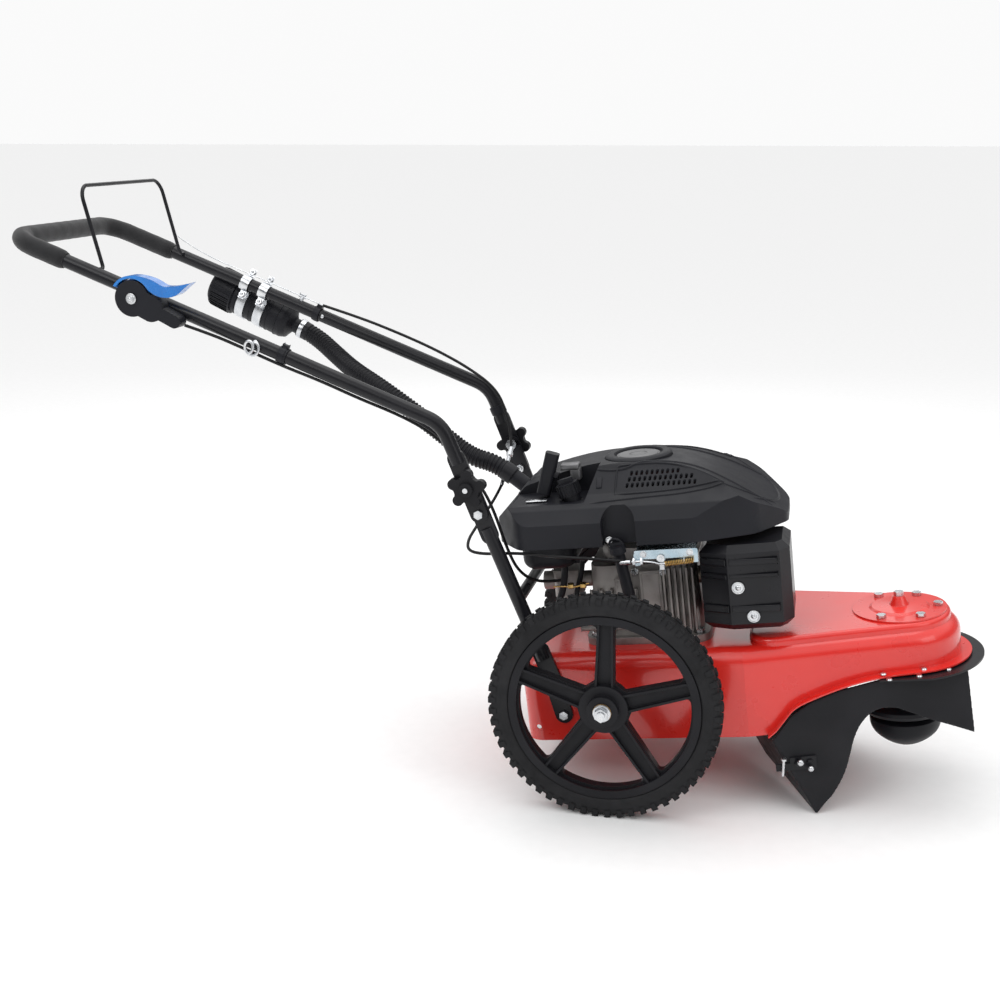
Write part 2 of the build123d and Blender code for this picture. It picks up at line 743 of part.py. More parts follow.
recess_outside = filler_recess(0)
recess_inside = filler_recess(COWL_WALL)
GRIP_Y = -64.0
FUEL_CAP = Plane(origin=deck_at(-44, -88, 297), z_dir=DECK.z_dir + DECK.x_dir * -0.25)
hollow = cowl_form(COWL_WALL, COWL_FLOOR - 20).cut(recess_inside).cut(grip_recess(COWL_WALL))
STUB_FOOT = deck_at(-147, 52, 284)
STUB_END = STUB_FOOT + Vector(-36, 5, 23)
STUB_INNER = STUB_FOOT - (STUB_END - STUB_FOOT).normalized() * 18
with BuildPart() as engine_cowl:
    add(cowl_form(0, COWL_FLOOR))
    add(recess_outside, mode=Mode.SUBTRACT)
    add(grip_recess(0), mode=Mode.SUBTRACT)
    add(hollow, mode=Mode.SUBTRACT)
    with BuildSketch(deck_level(COWL_TOP - 25, CRANK_X)):
        Circle(54)
    extrude(amount=60, mode=Mode.SUBTRACT)
    with BuildSketch(FUEL_CAP.offset(-30)):
        Circle(15.5)
    extrude(amount=40, mode=Mode.SUBTRACT)
    with BuildSketch(deck_level(250)):
        for way in SIDES.values():
            for row, columns in enumerate((14, 13, 10)):
                for column in range(columns):
                    with Locations(Location((46 + 8 * column + 3 * row, way * (90 - 9 * row)), way * 12)):
                        SlotOverall(7.5, 4.2, rotation=90)
    extrude(amount=90, mode=Mode.SUBTRACT)
    add(rod(STUB_INNER, STUB_END, 13.3))
    add(rod(STUB_INNER, STUB_END, 11), mode=Mode.SUBTRACT)
save(engine_cowl.part, "engine_cowl")

save(turned([
    (0, COWL_TOP - 10), (50, COWL_TOP - 10), (53.7, COWL_TOP - 6), (52, COWL_TOP), (46, COWL_TOP + 3),
    (38, COWL_TOP + 1), (36, COWL_TOP - 1), (0, COWL_TOP - 1),
], CRANK_X), "starter_cover")

with BuildPart() as fuel_tank:
    with BuildSketch(deck_level(182, -88, -42)):
        RectangleRounded(86, 140, 26)
    extrude(amount=40)
    fillet(fuel_tank.faces().sort_by(Axis(DECK.origin, DECK.z_dir))[0].edges(), radius=16)
    add(rod(FUEL_CAP.origin - FUEL_CAP.z_dir * 76, FUEL_CAP.origin - FUEL_CAP.z_dir * 0.4, 14))
save(fuel_tank.part, "fuel_tank")

OIL_TOP = deck_at(30, -136, 214)
OIL_TURN = deck_at(38, -128, 146)
OIL_FOOT = deck_at(39, -90, 104)
with BuildPart() as oil_tube:
    with BuildLine() as oil_route:
        FilletPolyline(OIL_TOP, OIL_TURN, OIL_FOOT, radius=30)
    with BuildSketch(Plane(origin=OIL_TOP, z_dir=OIL_TURN - OIL_TOP)):
        Circle(9)
        Circle(7, mode=Mode.SUBTRACT)
    sweep(path=oil_route.line)
save(oil_tube.part, "oil_filler_tube")

OIL_AXIS = (OIL_TOP - OIL_TURN).normalized()
with BuildPart() as dipstick:
    add(rod(OIL_TOP + OIL_AXIS * 0.4, OIL_TOP + OIL_AXIS * 11, 12.5))
    add(rod(OIL_TOP - OIL_AXIS * 34, OIL_TOP + OIL_AXIS * 2, 2.5))
    with BuildSketch(Plane(origin=OIL_TOP + OIL_AXIS * 11, z_dir=OIL_AXIS)):
        Rectangle(20, 5)
    extrude(amount=6)
save(dipstick.part, "dipstick")

with BuildPart() as muffler:
    with BuildSketch(deck_level(92, 216, -74)):
        RectangleRounded(112, 84, 20)
    extrude(amount=108)
    add(rod(deck_at(140.8, -60, 150), deck_at(162, -60, 150), 14))
save(muffler.part, "muffler")

def guard_form(inset):
    """The muffler guard's solid form: a faceted box open towards the engine's middle."""
    with BuildPart() as form:
        with BuildSketch(deck_level(80 + inset)):
            with BuildLine():
                Polyline(
                    (150 + inset, -24 + 4 * inset), (150 + inset, -120 + inset), (192, -138 + inset),
                    (270 - inset / 2, -132 + inset), (285 - inset, -112 + inset / 2), (285 - inset, -24 + 4 * inset),
                    close=True,
                )
            make_face()
        extrude(amount=134 - 2 * inset)
        levels = form.faces().sort_by(Axis(DECK.origin, DECK.z_dir))
        chamfer(levels[-1].edges() + levels[0].edges(), 11 - inset)
    return form.part


guard_outside = guard_form(0)
guard_inside = guard_form(2.5)
with BuildPart() as muffler_guard:
    add(guard_outside)
    add(guard_inside, mode=Mode.SUBTRACT)
    with BuildSketch(Plane(origin=deck_at(146, -60, 150), z_dir=DECK.x_dir)):
        Circle(14.5)
    extrude(amount=10, mode=Mode.SUBTRACT)
save(muffler_guard.part, "muffler_guard")

with BuildPart() as carburettor:
    with BuildSketch(deck_level(120, -72, -36)):
        RectangleRounded(44, 40, 6)
    extrude(amount=44)
    with BuildSketch(deck_level(92, -72, -36)):
        Circle(21)
    extrude(amount=30)
    add(rod(deck_at(-94, -36, 144), deck_at(-112, -36, 144), 15))
    add(rod(deck_at(-50, -36, 144), deck_at(-32.6, -36, 144), 13))
save(carburettor.part, "carburettor")

BRAKE_Y = -150.0
BRAKE_PIVOT = (96.0, 207.0)
with BuildPart() as brake_bracket:
    with BuildSketch(deck_side(BRAKE_Y)):
        with Locations((104, 213)):
            RectangleRounded(96, 14, 3)
        with Locations((60, 206)):
            RectangleRounded(10, 20, 3)
        with Locations((148, 206)):
            RectangleRounded(8, 16, 2)
        with Locations(BRAKE_PIVOT):
            Circle(7)
            Circle(2.5 + RUN_FIT, mode=Mode.SUBTRACT)
    extrude(amount=2)
    with BuildSketch(deck_level(218, 104, (BRAKE_Y - 64) / 2)):
        Rectangle(90, -BRAKE_Y - 64)
    extrude(amount=2)
    add(rod(deck_at(120, -70, BLOCK_TOP + 0.2), deck_at(120, -70, 220), 7))
save(brake_bracket.part, "brake_bracket")

with BuildPart() as brake_lever:
    with BuildSketch(deck_side(BRAKE_Y - 2.5)):
        with Locations(BRAKE_PIVOT):
            Circle(6)
        with Locations((BRAKE_PIVOT[0] + 1, BRAKE_PIVOT[1] - 9)):
            Rectangle(7, 18)
    extrude(amount=2)
    with BuildSketch(deck_side(BRAKE_Y + 3)):
        with Locations(BRAKE_PIVOT):
            Circle(2.5)
    extrude(amount=9)
save(brake_lever.part, "brake_lever")

save(rod(deck_at(104, BRAKE_Y - 7.5, 199), deck_at(144, BRAKE_Y - 7.5, 203), 4.5, 3.2), "brake_spring")

with BuildPart() as fuel_cap:
    with BuildSketch(FUEL_CAP):
        RegularPolygon(17.5, 24)
    extrude(amount=20)
    with BuildSketch(FUEL_CAP.offset(20)):
        RectangleRounded(24, 9, 3)
    extrude(amount=8)
save(fuel_cap.part, "fuel_cap")

GRIP_BASE = deck_at(-92, GRIP_Y, 296)
GRIP_TIP = deck_at(-70, GRIP_Y, 361)
PULL = (GRIP_TIP - GRIP_BASE).normalized().cross(Vector(0, 1, 0)) * -1
PULL = PULL if PULL.X < 0 else -PULL
with BuildPart() as starter_grip:
    with BuildSketch(Plane(origin=GRIP_BASE, x_dir=(0, 1, 0), z_dir=GRIP_TIP - GRIP_BASE)):
        RectangleRounded(18, 22, 6)
    extrude(amount=(GRIP_TIP - GRIP_BASE).length)
    middle = (GRIP_BASE + GRIP_TIP) * 0.5
    add(rod(middle - PULL * 10, middle - PULL * 17, 6))
save(starter_grip.part, "starter_grip")


# ---- lower frame -----------------------------------------------------------------------------
LEG_RUN = hypot(FRAME_BOLTS[0][0] - PIVOT[0], FRAME_BOLTS[0][1] - PIVOT[1])
LEG = ((FRAME_BOLTS[0][0] - PIVOT[0]) / LEG_RUN, (FRAME_BOLTS[0][1] - PIVOT[1]) / LEG_RUN)
LOWER_PLATE_IN = HANDLE_Y - PLATE / 2 - 0.3 - PLATE
CROSSBAR = 0.52
ARM_R = hypot(KNOB[0] - PIVOT[0], KNOB[1] - PIVOT[1])
ARM_ANGLE = degrees(atan2(KNOB[1] - PIVOT[1], KNOB[0] - PIVOT[0]))


def down_leg(distance):
    """A point on the lower frame's leg, measured down from the handle's pivot."""
    return (PIVOT[0] + LEG[0] * distance, PIVOT[1] + LEG[1] * distance)


def strap(start, end, width=28.0):
    """A round ended strip between two sketch points."""
    run = hypot(end[0] - start[0], end[1] - start[1])
    with Locations(((start[0] + end[0]) / 2, (start[1] + end[1]) / 2)):
        SlotCenterToCenter(run, width, rotation=degrees(atan2(end[1] - start[1], end[0] - start[0])))


with BuildPart() as lower_frame:
    for way in SIDES.values():
        top, bottom = down_leg(26), down_leg(LEG_RUN - 36)
        add(rod(at(top[0], way * FRAME_Y, top[1]), at(bottom[0], way * FRAME_Y, bottom[1]), TUBE_R,
                TUBE_R - TUBE_WALL))
        with BuildSketch(side(way * (LOWER_PLATE_IN + PLATE / 2))):
            strap(KNOB, down_leg(38))
        extrude(amount=PLATE / 2, both=True)
        with BuildSketch(side(way * (DECK_HALF + PLATE / 2 + 0.1))):
            strap(down_leg(LEG_RUN - 50), FRAME_BOLTS[0])
            strap(*FRAME_BOLTS)
        extrude(amount=PLATE / 2, both=True)
    bar = down_leg(LEG_RUN * CROSSBAR)
    add(rod(at(bar[0], -FRAME_Y + TUBE_R - 1, bar[1]), at(bar[0], FRAME_Y - TUBE_R + 1, bar[1]), 9, 7.5))
    with BuildSketch(SIDE):
        with Locations(PIVOT):
            Circle(M8 + RUN_FIT)
        with Locations(*FRAME_BOLTS):
            Circle(M8)
        with Locations(PIVOT):
            with BuildLine() as notch:
                CenterArc((0, 0), ARM_R, ARM_ANGLE, -40)
            SlotArc(notch.edge(), 9.4)
    extrude(amount=200, both=True, mode=Mode.SUBTRACT)
save(lower_frame.part, "lower_frame")

with BuildPart() as chassis_bolts:
    for way in SIDES.values():
        for x, z in FRAME_BOLTS:
            face = Plane(origin=at(x, way * (DECK_HALF + PLATE + 0.1), z), z_dir=(0, way, 0))
            add(hex_bolt(face, 22))
            add(hex_nut(face.offset(-PLATE - SHEET - 0.1 - 6.5), M8, M8_HEAD, 6.5))
    for x, y in ENGINE_BOLTS:
        face = deck_level(DECK_TOP + 12, x, y)
        add(hex_bolt(face, 26))
        add(hex_nut(face.offset(-12 - SHEET - 6.5), M8, M8_HEAD, 6.5))
    for x, y in COVER_BOLTS:
        add(hex_bolt(deck_level(NOSE_TOP + 3, x, y), 12))
    add(hex_bolt(deck_level(NOSE_TOP + 21, SPINDLE_X), 5.5, head=7))
save(chassis_bolts.part, "chassis_bolts")

with BuildPart() as pivot_bolts:
    for way in SIDES.values():
        face = Plane(origin=at(PIVOT[0], way * (HANDLE_Y + PLATE / 2 + 0.3), PIVOT[1]), z_dir=(0, way, 0))
        add(hex_bolt(face, 2 * PLATE + 10))
        add(hex_nut(face.offset(-2 * PLATE - 0.6 - 6.5), M8, M8_HEAD, 6.5))
save(pivot_bolts.part, "pivot_bolts")


# ---- folding handle ---------------------------------------------------------------------------
HANDLE_SLOPE = (CORNER[1] - BEND[1]) / (CORNER[0] - BEND[0])
HANDLE_FORWARD = Vector(1, 0, HANDLE_SLOPE).normalized()


def on_handle(x, y, rise=0.0):
    """A point on a handle tube's line at x, lifted by rise."""
    return at(x, y, BEND[1] + HANDLE_SLOPE * (x - BEND[0]) + rise)


def collar(x, y, length, outer, bore=TUBE_R + 0.05):
    """A ring around a handle tube."""
    middle = on_handle(x, y)
    return rod(middle - HANDLE_FORWARD * (length / 2), middle + HANDLE_FORWARD * (length / 2), outer, bore)


LEG_TOP = (KNOB[0] - LEG[0] * 40, KNOB[1] - LEG[1] * 40)
with BuildPart() as upper_handle:
    with BuildLine():
        handle_route = FilletPolyline(
            at(LEG_TOP[0], -HANDLE_Y, LEG_TOP[1]), at(BEND[0], -HANDLE_Y, BEND[1]),
            at(CORNER[0], -HANDLE_Y, CORNER[1]), at(CORNER[0], HANDLE_Y, CORNER[1]),
            at(BEND[0], HANDLE_Y, BEND[1]), at(LEG_TOP[0], HANDLE_Y, LEG_TOP[1]), radius=[55, 40, 40, 55],
        )
    with BuildSketch(Plane(origin=handle_route @ 0, z_dir=handle_route % 0)):
        Circle(TUBE_R)
        Circle(TUBE_R - TUBE_WALL, mode=Mode.SUBTRACT)
    sweep(path=handle_route)
    for way in SIDES.values():
        with BuildSketch(side(way * HANDLE_Y)):
            strap((LEG_TOP[0] - LEG[0] * 8, LEG_TOP[1] - LEG[1] * 8), PIVOT)
        extrude(amount=PLATE / 2, both=True)
    with BuildSketch(SIDE):
        with Locations(PIVOT):
            Circle(M8 + RUN_FIT)
        with Locations(KNOB):
            Circle(M8)
    extrude(amount=200, both=True, mode=Mode.SUBTRACT)
    with BuildSketch(SIDE):
        with Locations(BAIL_PIVOT):
            Circle(3 + RUN_FIT)
    extrude(amount=150, both=True, mode=Mode.SUBTRACT)
save(upper_handle.part, "upper_handle")

with BuildPart() as grip:
    with BuildLine():
        grip_route = FilletPolyline(
            on_handle(-878, -HANDLE_Y), at(CORNER[0], -HANDLE_Y, CORNER[1]),
            at(CORNER[0], HANDLE_Y, CORNER[1]), on_handle(-847, HANDLE_Y), radius=40,
        )
    with BuildSketch(Plane(origin=grip_route @ 0, z_dir=grip_route % 0)):
        Circle(GRIP_R)
        Circle(TUBE_R + 0.05, mode=Mode.SUBTRACT)
    sweep(path=grip_route)
save(grip.part, "grip")

with BuildPart() as knob_bolts:
    for way in SIDES.values():
        add(rod(at(KNOB[0], way * (LOWER_PLATE_IN - 0.4), KNOB[1]), at(KNOB[0], way * 181, KNOB[1]), M8))
        add(rod(at(KNOB[0], way * (LOWER_PLATE_IN - 5), KNOB[1]),
                at(KNOB[0], way * (LOWER_PLATE_IN - 0.4), KNOB[1]), 9))
save(knob_bolts.part, "knob_bolts")


def make_star_knob(way):
    """A five lobed clamping knob."""
    seat = Plane(origin=at(KNOB[0], way * (HANDLE_Y + PLATE / 2 + 0.4), KNOB[1]), x_dir=(1, 0, 0), z_dir=(0, way, 0))
    with BuildPart() as knob:
        with BuildSketch(seat) as star:
            Circle(20)
            with PolarLocations(22, 5, start_angle=90):
                Circle(8.5)
            fillet(star.vertices(), radius=5)
        extrude(amount=14)
        with BuildSketch(seat.offset(14)):
            Circle(11)
        extrude(amount=5)
        with BuildSketch(seat):
            Circle(M8 + RUN_FIT)
        extrude(amount=19, mode=Mode.SUBTRACT)
    return knob.part


for label, way in SIDES.items():
    save(make_star_knob(way), f"{label}_star_knob")

BAIL_Y = 136.0
BAIL_LEG = 131.0
BAIL_LEAN = radians(13.9)
BAIL_TOP = (BAIL_PIVOT[0] - BAIL_LEG * sin(BAIL_LEAN), BAIL_PIVOT[1] + BAIL_LEG * cos(BAIL_LEAN))
with BuildPart() as bail:
    with BuildLine():
        bail_route = FilletPolyline(
            at(BAIL_PIVOT[0], -149, BAIL_PIVOT[1]), at(BAIL_PIVOT[0], -BAIL_Y, BAIL_PIVOT[1]),
            at(BAIL_TOP[0], -BAIL_Y, BAIL_TOP[1]), at(BAIL_TOP[0], BAIL_Y, BAIL_TOP[1]),
            at(BAIL_PIVOT[0], BAIL_Y, BAIL_PIVOT[1]), at(BAIL_PIVOT[0], 149, BAIL_PIVOT[1]),
            radius=[6, 24, 24, 6],
        )
    with BuildSketch(Plane(origin=bail_route @ 0, z_dir=bail_route % 0)):
        Circle(3)
    sweep(path=bail_route)
save(bail.part, "bail")


# ---- throttle -----------------------------------------------------------------------------------
THROTTLE_OUT = -190.0
THROTTLE_IN = -167.2
SLOT_OUT = -184.0
SLOT_IN = -172.0
TAIL = (68.0, -34.0)

with BuildPart() as throttle_housing:
    with BuildSketch(side(THROTTLE_IN)):
        with Locations(THROTTLE):
            Circle(28)
        strap(THROTTLE, (THROTTLE[0] + TAIL[0] * 0.45, THROTTLE[1] + TAIL[1] * 0.45), width=40)
        strap(THROTTLE, (THROTTLE[0] + TAIL[0], THROTTLE[1] + TAIL[1]), width=20)
    extrude(amount=THROTTLE_IN - THROTTLE_OUT)
    with BuildSketch(side(SLOT_IN)):
        with Locations(THROTTLE):
            Circle(29)
    extrude(amount=SLOT_IN - SLOT_OUT, mode=Mode.SUBTRACT)
    with BuildSketch(side(THROTTLE_IN)):
        with Locations(THROTTLE):
            Circle(3)
    extrude(amount=THROTTLE_IN - THROTTLE_OUT + 2)
    with BuildSketch(side(THROTTLE_OUT)):
        with Locations(THROTTLE):
            Circle(6)
    extrude(amount=2.5)
    add(collar(THROTTLE[0], -HANDLE_Y, 26, 14.5))
    with BuildSketch(side(THROTTLE_OUT)):
        with Locations((THROTTLE[0] + 30, THROTTLE[1] - 15)):
            Circle(3)
    extrude(amount=-20)
save(throttle_housing.part, "throttle_housing")

with BuildPart() as throttle_lever:
    with BuildSketch(side(SLOT_IN - 0.4)):
        with Locations(THROTTLE):
            Circle(20)
        with BuildLine():
            Polyline(
                (THROTTLE[0], THROTTLE[1]), (THROTTLE[0] - 28, THROTTLE[1] + 16), (THROTTLE[0], THROTTLE[1] + 32),
                (THROTTLE[0] + 34, THROTTLE[1] + 12), close=True,
            )
        make_face()
        with Locations(THROTTLE):
            Circle(3 + RUN_FIT, mode=Mode.SUBTRACT)
    extrude(amount=SLOT_IN - SLOT_OUT - 0.8)
    with BuildSketch(side(THROTTLE_IN - 0.8)):
        with BuildLine():
            Polyline((THROTTLE[0] - 26, THROTTLE[1] + 17), (THROTTLE[0] - 30, THROTTLE[1] + 19))
            Spline(
                (THROTTLE[0] - 30, THROTTLE[1] + 19), (THROTTLE[0] - 8, THROTTLE[1] + 34),
                (THROTTLE[0] + 40, THROTTLE[1] + 27), (THROTTLE[0] + 99, THROTTLE[1] + 26),
                tangents=((0.6, 0.8), (1, 0.25)),
            )
            Line((THROTTLE[0] + 99, THROTTLE[1] + 26), (THROTTLE[0] + 84, THROTTLE[1] + 14))
            Spline(
                (THROTTLE[0] + 84, THROTTLE[1] + 14), (THROTTLE[0] + 62, THROTTLE[1] + 3),
                (THROTTLE[0] + 40, THROTTLE[1] + 6), (THROTTLE[0] + 24, THROTTLE[1] + 19),
            )
            ThreePointArc(
                (THROTTLE[0] + 24, THROTTLE[1] + 19), (THROTTLE[0], THROTTLE[1] + 30.6),
                (THROTTLE[0] - 26, THROTTLE[1] + 17),
            )
        make_face()
    extrude(amount=22)
save(throttle_lever.part, "throttle_lever")


# ---- remote air filter --------------------------------------------------------------------------
FILTER_Y = 196.0
FILTER_BACK = at(-786, FILTER_Y, 747.5)
FILTER_FRONT = at(-621, FILTER_Y, 669.5)
FILTER_AXIS = (FILTER_FRONT - FILTER_BACK).normalized()
FILTER_R = 32.0


def filter_at(distance):
    """A point on the air filter's axis, measured from its rear cap."""
    return FILTER_BACK + FILTER_AXIS * distance


def turned_on_filter(points):
    """A body turned about the air filter's axis, from (radius, distance) points."""
    with BuildPart() as body:
        with BuildSketch(Plane(origin=FILTER_BACK, x_dir=(0, 1, 0), z_dir=Vector(0, 1, 0).cross(FILTER_AXIS))):
            with BuildLine():
                Polyline(*points, close=True)
            make_face()
        revolve(axis=Axis(FILTER_BACK, FILTER_AXIS))
    return body.part


save(turned_on_filter([
    (FILTER_R - 2, 40), (FILTER_R, 40), (FILTER_R, 146), (28, 156), (17, 162), (13.3, 165), (13.3, 190),
    (11.3, 190), (11.3, 163), (15, 160), (26, 153), (FILTER_R - 2, 144),
]), "filter_body")
save(turned_on_filter([
    (0, 0), (30, 0), (36, 5), (36, 46), (FILTER_R + 0.05, 46), (FILTER_R + 0.05, 39), (0, 39),
]), "filter_cap")

with BuildPart() as filter_clamps:
    for distance in (66, 102):
        centre = filter_at(distance)
        tube = on_handle(centre.X - AXLE_X, HANDLE_Y)
        tube -= HANDLE_FORWARD * ((tube - centre).dot(FILTER_AXIS) / HANDLE_FORWARD.dot(FILTER_AXIS))
        band = Plane(origin=centre, x_dir=(0, 1, 0), z_dir=FILTER_AXIS)
        tube_in_band = band.to_local_coords(tube)
        reach = hypot(tube_in_band.X, tube_in_band.Y)
        way_x, way_y = tube_in_band.X / reach, tube_in_band.Y / reach
        with BuildSketch(band.offset(-8)):
            Circle(FILTER_R + 2.4)
            with Locations((tube_in_band.X, tube_in_band.Y)):
                Circle(TUBE_R + 3.4)
            strap((28 * way_x, 28 * way_y), ((reach - 4) * way_x, (reach - 4) * way_y), width=16)
            with Locations((tube_in_band.X, tube_in_band.Y)):
                Circle(TUBE_R + 1.1, mode=Mode.SUBTRACT)
            Circle(FILTER_R + 0.05, mode=Mode.SUBTRACT)
        extrude(amount=16)
save(filter_clamps.part, "filter_clamps")

HOSE_ROUTE = [
    filter_at(174), filter_at(208), at(-552, 168, 632), at(-505, 126, 612), at(-450, 99, 590), at(-392, 86, 557),
    at(-334, 76, 519),
    at(-278, 66, 482), STUB_END + (STUB_END - STUB_FOOT) * 0.45, STUB_END - (STUB_END - STUB_FOOT) * 0.4,
]
save(tube_along(HOSE_ROUTE, 16.5, bore=13.6, name="intake hose"), "intake_hose")


# ---- cables and clips ---------------------------------------------------------------------------
CABLE_R = 2.5
BRAKE_STOP = deck_at(52, BRAKE_Y - 6, 204)
BRAKE_ROUTE = [
    at(-566, 150, 720), at(-500, 151, 701), at(-430, 152, 676), at(-365, 152, 650), at(-305, 149, 621),
    at(-253, 143, 587), at(-233, 139, 545), at(-222, 126, 505), at(-218, 106, 470), at(-223, 74, 443),
    at(-230, 38, 421), at(-238, 0, 404), at(-244, -42, 391), at(-247, -84, 381), at(-238, -118, 374),
    at(-208, -128, 374), at(-165, -128, 379), at(-124, -140, 383), at(-84, -153, 386), at(-40, -157, 388),
    BRAKE_STOP,
]
WIRE_ROUTE = [at(-827, 136, 836), at(-788, 144, 806), at(-700, 150, 772), at(-566, 150, 720)]
brake_casing = tube_along(BRAKE_ROUTE, CABLE_R, name="brake cable")
brake_wire = tube_along(WIRE_ROUTE, 0.9, name="brake wire")
with BuildPart() as brake_cable:
    add(brake_casing)
    add(brake_wire)
save(brake_cable.part, "brake_cable")

THROTTLE_ROUTE = [
    at(THROTTLE[0] + TAIL[0] + 12, -178, THROTTLE[1] + TAIL[1] - 6), at(-630, -166, 711), at(-580, -161, 690),
    at(-520, -161, 666), at(-460, -159, 645), at(-400, -157, 620), at(-345, -152, 599), at(-300, -142, 575),
    at(-264, -136, 545), at(-236, -134, 512), at(-208, -131, 478), at(-192, -126, 440), at(-182, -118, 403),
    at(-173, -109, 372), at(-164, -98, 346), at(-150, -80, 324), at(-126, -68, 314), deck_at(-80, -60, 150),
]
save(tube_along(THROTTLE_ROUTE, CABLE_R, name="throttle cable"), "throttle_cable")

with BuildPart() as cable_clips:
    add(collar(-520, -HANDLE_Y, 15, 12.8))
    add(collar(-580, HANDLE_Y, 10, 12.8))
    lower_clip = at(BEND[0] + LEG[0] * 42, HANDLE_Y, BEND[1] + LEG[1] * 42)
    leg_way = Vector(LEG[0], 0, LEG[1])
    add(rod(lower_clip - leg_way * 7, lower_clip + leg_way * 7, 13.6, TUBE_R + 0.05))
save(cable_clips.part, "cable_clips")

with BuildPart() as rope_guide:
    eye = on_handle(-566, -172.5, -6)
    with BuildSketch(Plane(origin=eye, x_dir=(1, 0, 0), z_dir=(0, 0, 1))):
        with Locations((9, 0)):
            Circle(2.4)
    revolve(axis=Axis(eye, (0, 1, 0)))
    shank = on_handle(-566, -HANDLE_Y, 4)
    add(rod(at(-566, -172.5, shank.Z), at(-566, -166.9, shank.Z), 2.4))
save(rope_guide.part, "rope_guide")
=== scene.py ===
"""Looks for the walk-behind string trimmer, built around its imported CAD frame. Metres, Blender 4.5."""
import json
import math
import random

import bmesh
import bpy
from mathutils import Matrix, Vector
from mathutils.bvhtree import BVHTree


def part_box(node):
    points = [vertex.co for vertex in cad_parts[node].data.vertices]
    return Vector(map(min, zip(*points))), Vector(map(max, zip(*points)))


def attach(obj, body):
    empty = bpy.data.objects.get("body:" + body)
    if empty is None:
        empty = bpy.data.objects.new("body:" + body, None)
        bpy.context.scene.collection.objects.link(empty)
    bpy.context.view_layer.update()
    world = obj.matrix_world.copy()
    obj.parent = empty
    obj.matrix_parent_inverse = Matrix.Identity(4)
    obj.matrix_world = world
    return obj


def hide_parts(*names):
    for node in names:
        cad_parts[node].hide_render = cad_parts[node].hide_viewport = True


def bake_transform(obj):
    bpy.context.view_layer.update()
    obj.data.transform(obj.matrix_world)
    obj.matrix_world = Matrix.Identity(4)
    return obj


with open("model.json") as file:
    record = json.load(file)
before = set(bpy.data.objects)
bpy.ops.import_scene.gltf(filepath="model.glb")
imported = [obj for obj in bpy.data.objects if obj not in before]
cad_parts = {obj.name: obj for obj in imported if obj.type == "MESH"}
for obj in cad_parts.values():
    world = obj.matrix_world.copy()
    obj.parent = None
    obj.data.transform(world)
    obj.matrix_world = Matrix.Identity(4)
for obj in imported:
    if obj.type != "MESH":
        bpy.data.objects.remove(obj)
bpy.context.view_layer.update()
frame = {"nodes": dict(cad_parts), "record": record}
NODES = frame["nodes"]

AXLE_LOW, AXLE_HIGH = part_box("axle")
AXLE_X = (AXLE_LOW.x + AXLE_HIGH.x) / 2 * 1000
AXLE_Z = (AXLE_LOW.z + AXLE_HIGH.z) / 2 * 1000
PITCH = math.radians(7)
DECK_X = Vector((math.cos(PITCH), 0, math.sin(PITCH)))
DECK_Y = Vector((0, 1, 0))
DECK_UP = Vector((-math.sin(PITCH), 0, math.cos(PITCH)))


def at(x, y, z):
    """A point from millimetres: x from the wheel axle, y from the middle, z from the floor."""
    return Vector((AXLE_X + x, y, z)) / 1000


def deck_at(x, y, z):
    """A point from millimetres in the deck's tilted frame, whose origin is the wheel axle."""
    return at(0, 0, AXLE_Z) + (DECK_X * x + DECK_Y * y + DECK_UP * z) / 1000


# ---- materials ------------------------------------------------------------------------------
def new_material(name, rough, metal=0.0, coat=0.0, coat_rough=0.1, specular=0.5):
    """An empty procedural material: its node tree, its shader and its object coordinates."""
    material = bpy.data.materials.new(name)
    material.use_nodes = True
    nodes = material.node_tree.nodes
    shader = nodes["Principled BSDF"]
    shader.inputs["Roughness"].default_value = rough
    shader.inputs["Metallic"].default_value = metal
    shader.inputs["Coat Weight"].default_value = coat
    shader.inputs["Coat Roughness"].default_value = coat_rough
    shader.inputs["Specular IOR Level"].default_value = specular
    coordinates = nodes.new("ShaderNodeTexCoord").outputs["Object"]
    return material, shader, coordinates


def noise(material, coordinates, scale, detail=3.0, rough=0.55, stretch=(1, 1, 1)):
    nodes, links = material.node_tree.nodes, material.node_tree.links
    mapping = nodes.new("ShaderNodeMapping")
    mapping.inputs["Scale"].default_value = stretch
    texture = nodes.new("ShaderNodeTexNoise")
    texture.inputs["Scale"].default_value = scale
    texture.inputs["Detail"].default_value = detail
    texture.inputs["Roughness"].default_value = rough
    links.new(coordinates, mapping.inputs["Vector"])
    links.new(mapping.outputs["Vector"], texture.inputs["Vector"])
    return texture.outputs["Fac"]


def cells(material, coordinates, scale):
    nodes, links = material.node_tree.nodes, material.node_tree.links
    texture = nodes.new("ShaderNodeTexVoronoi")
    texture.inputs["Scale"].default_value = scale
    links.new(coordinates, texture.inputs["Vector"])
    return texture.outputs["Distance"]


def ramp(material, factor, stops):
    """Maps a factor through colour stops [(position, colour or grey), ...]."""
    nodes, links = material.node_tree.nodes, material.node_tree.links
    node = nodes.new("ShaderNodeValToRGB")
    elements = node.color_ramp.elements
    while len(elements) < len(stops):
        elements.new(0.5)
    for element, (position, color) in zip(elements, stops):
        if isinstance(color, (int, float)):
            color = (color, color, color)
        element.position = position
        element.color = (*color, 1)
    links.new(factor, node.inputs["Fac"])
    return node.outputs["Color"]


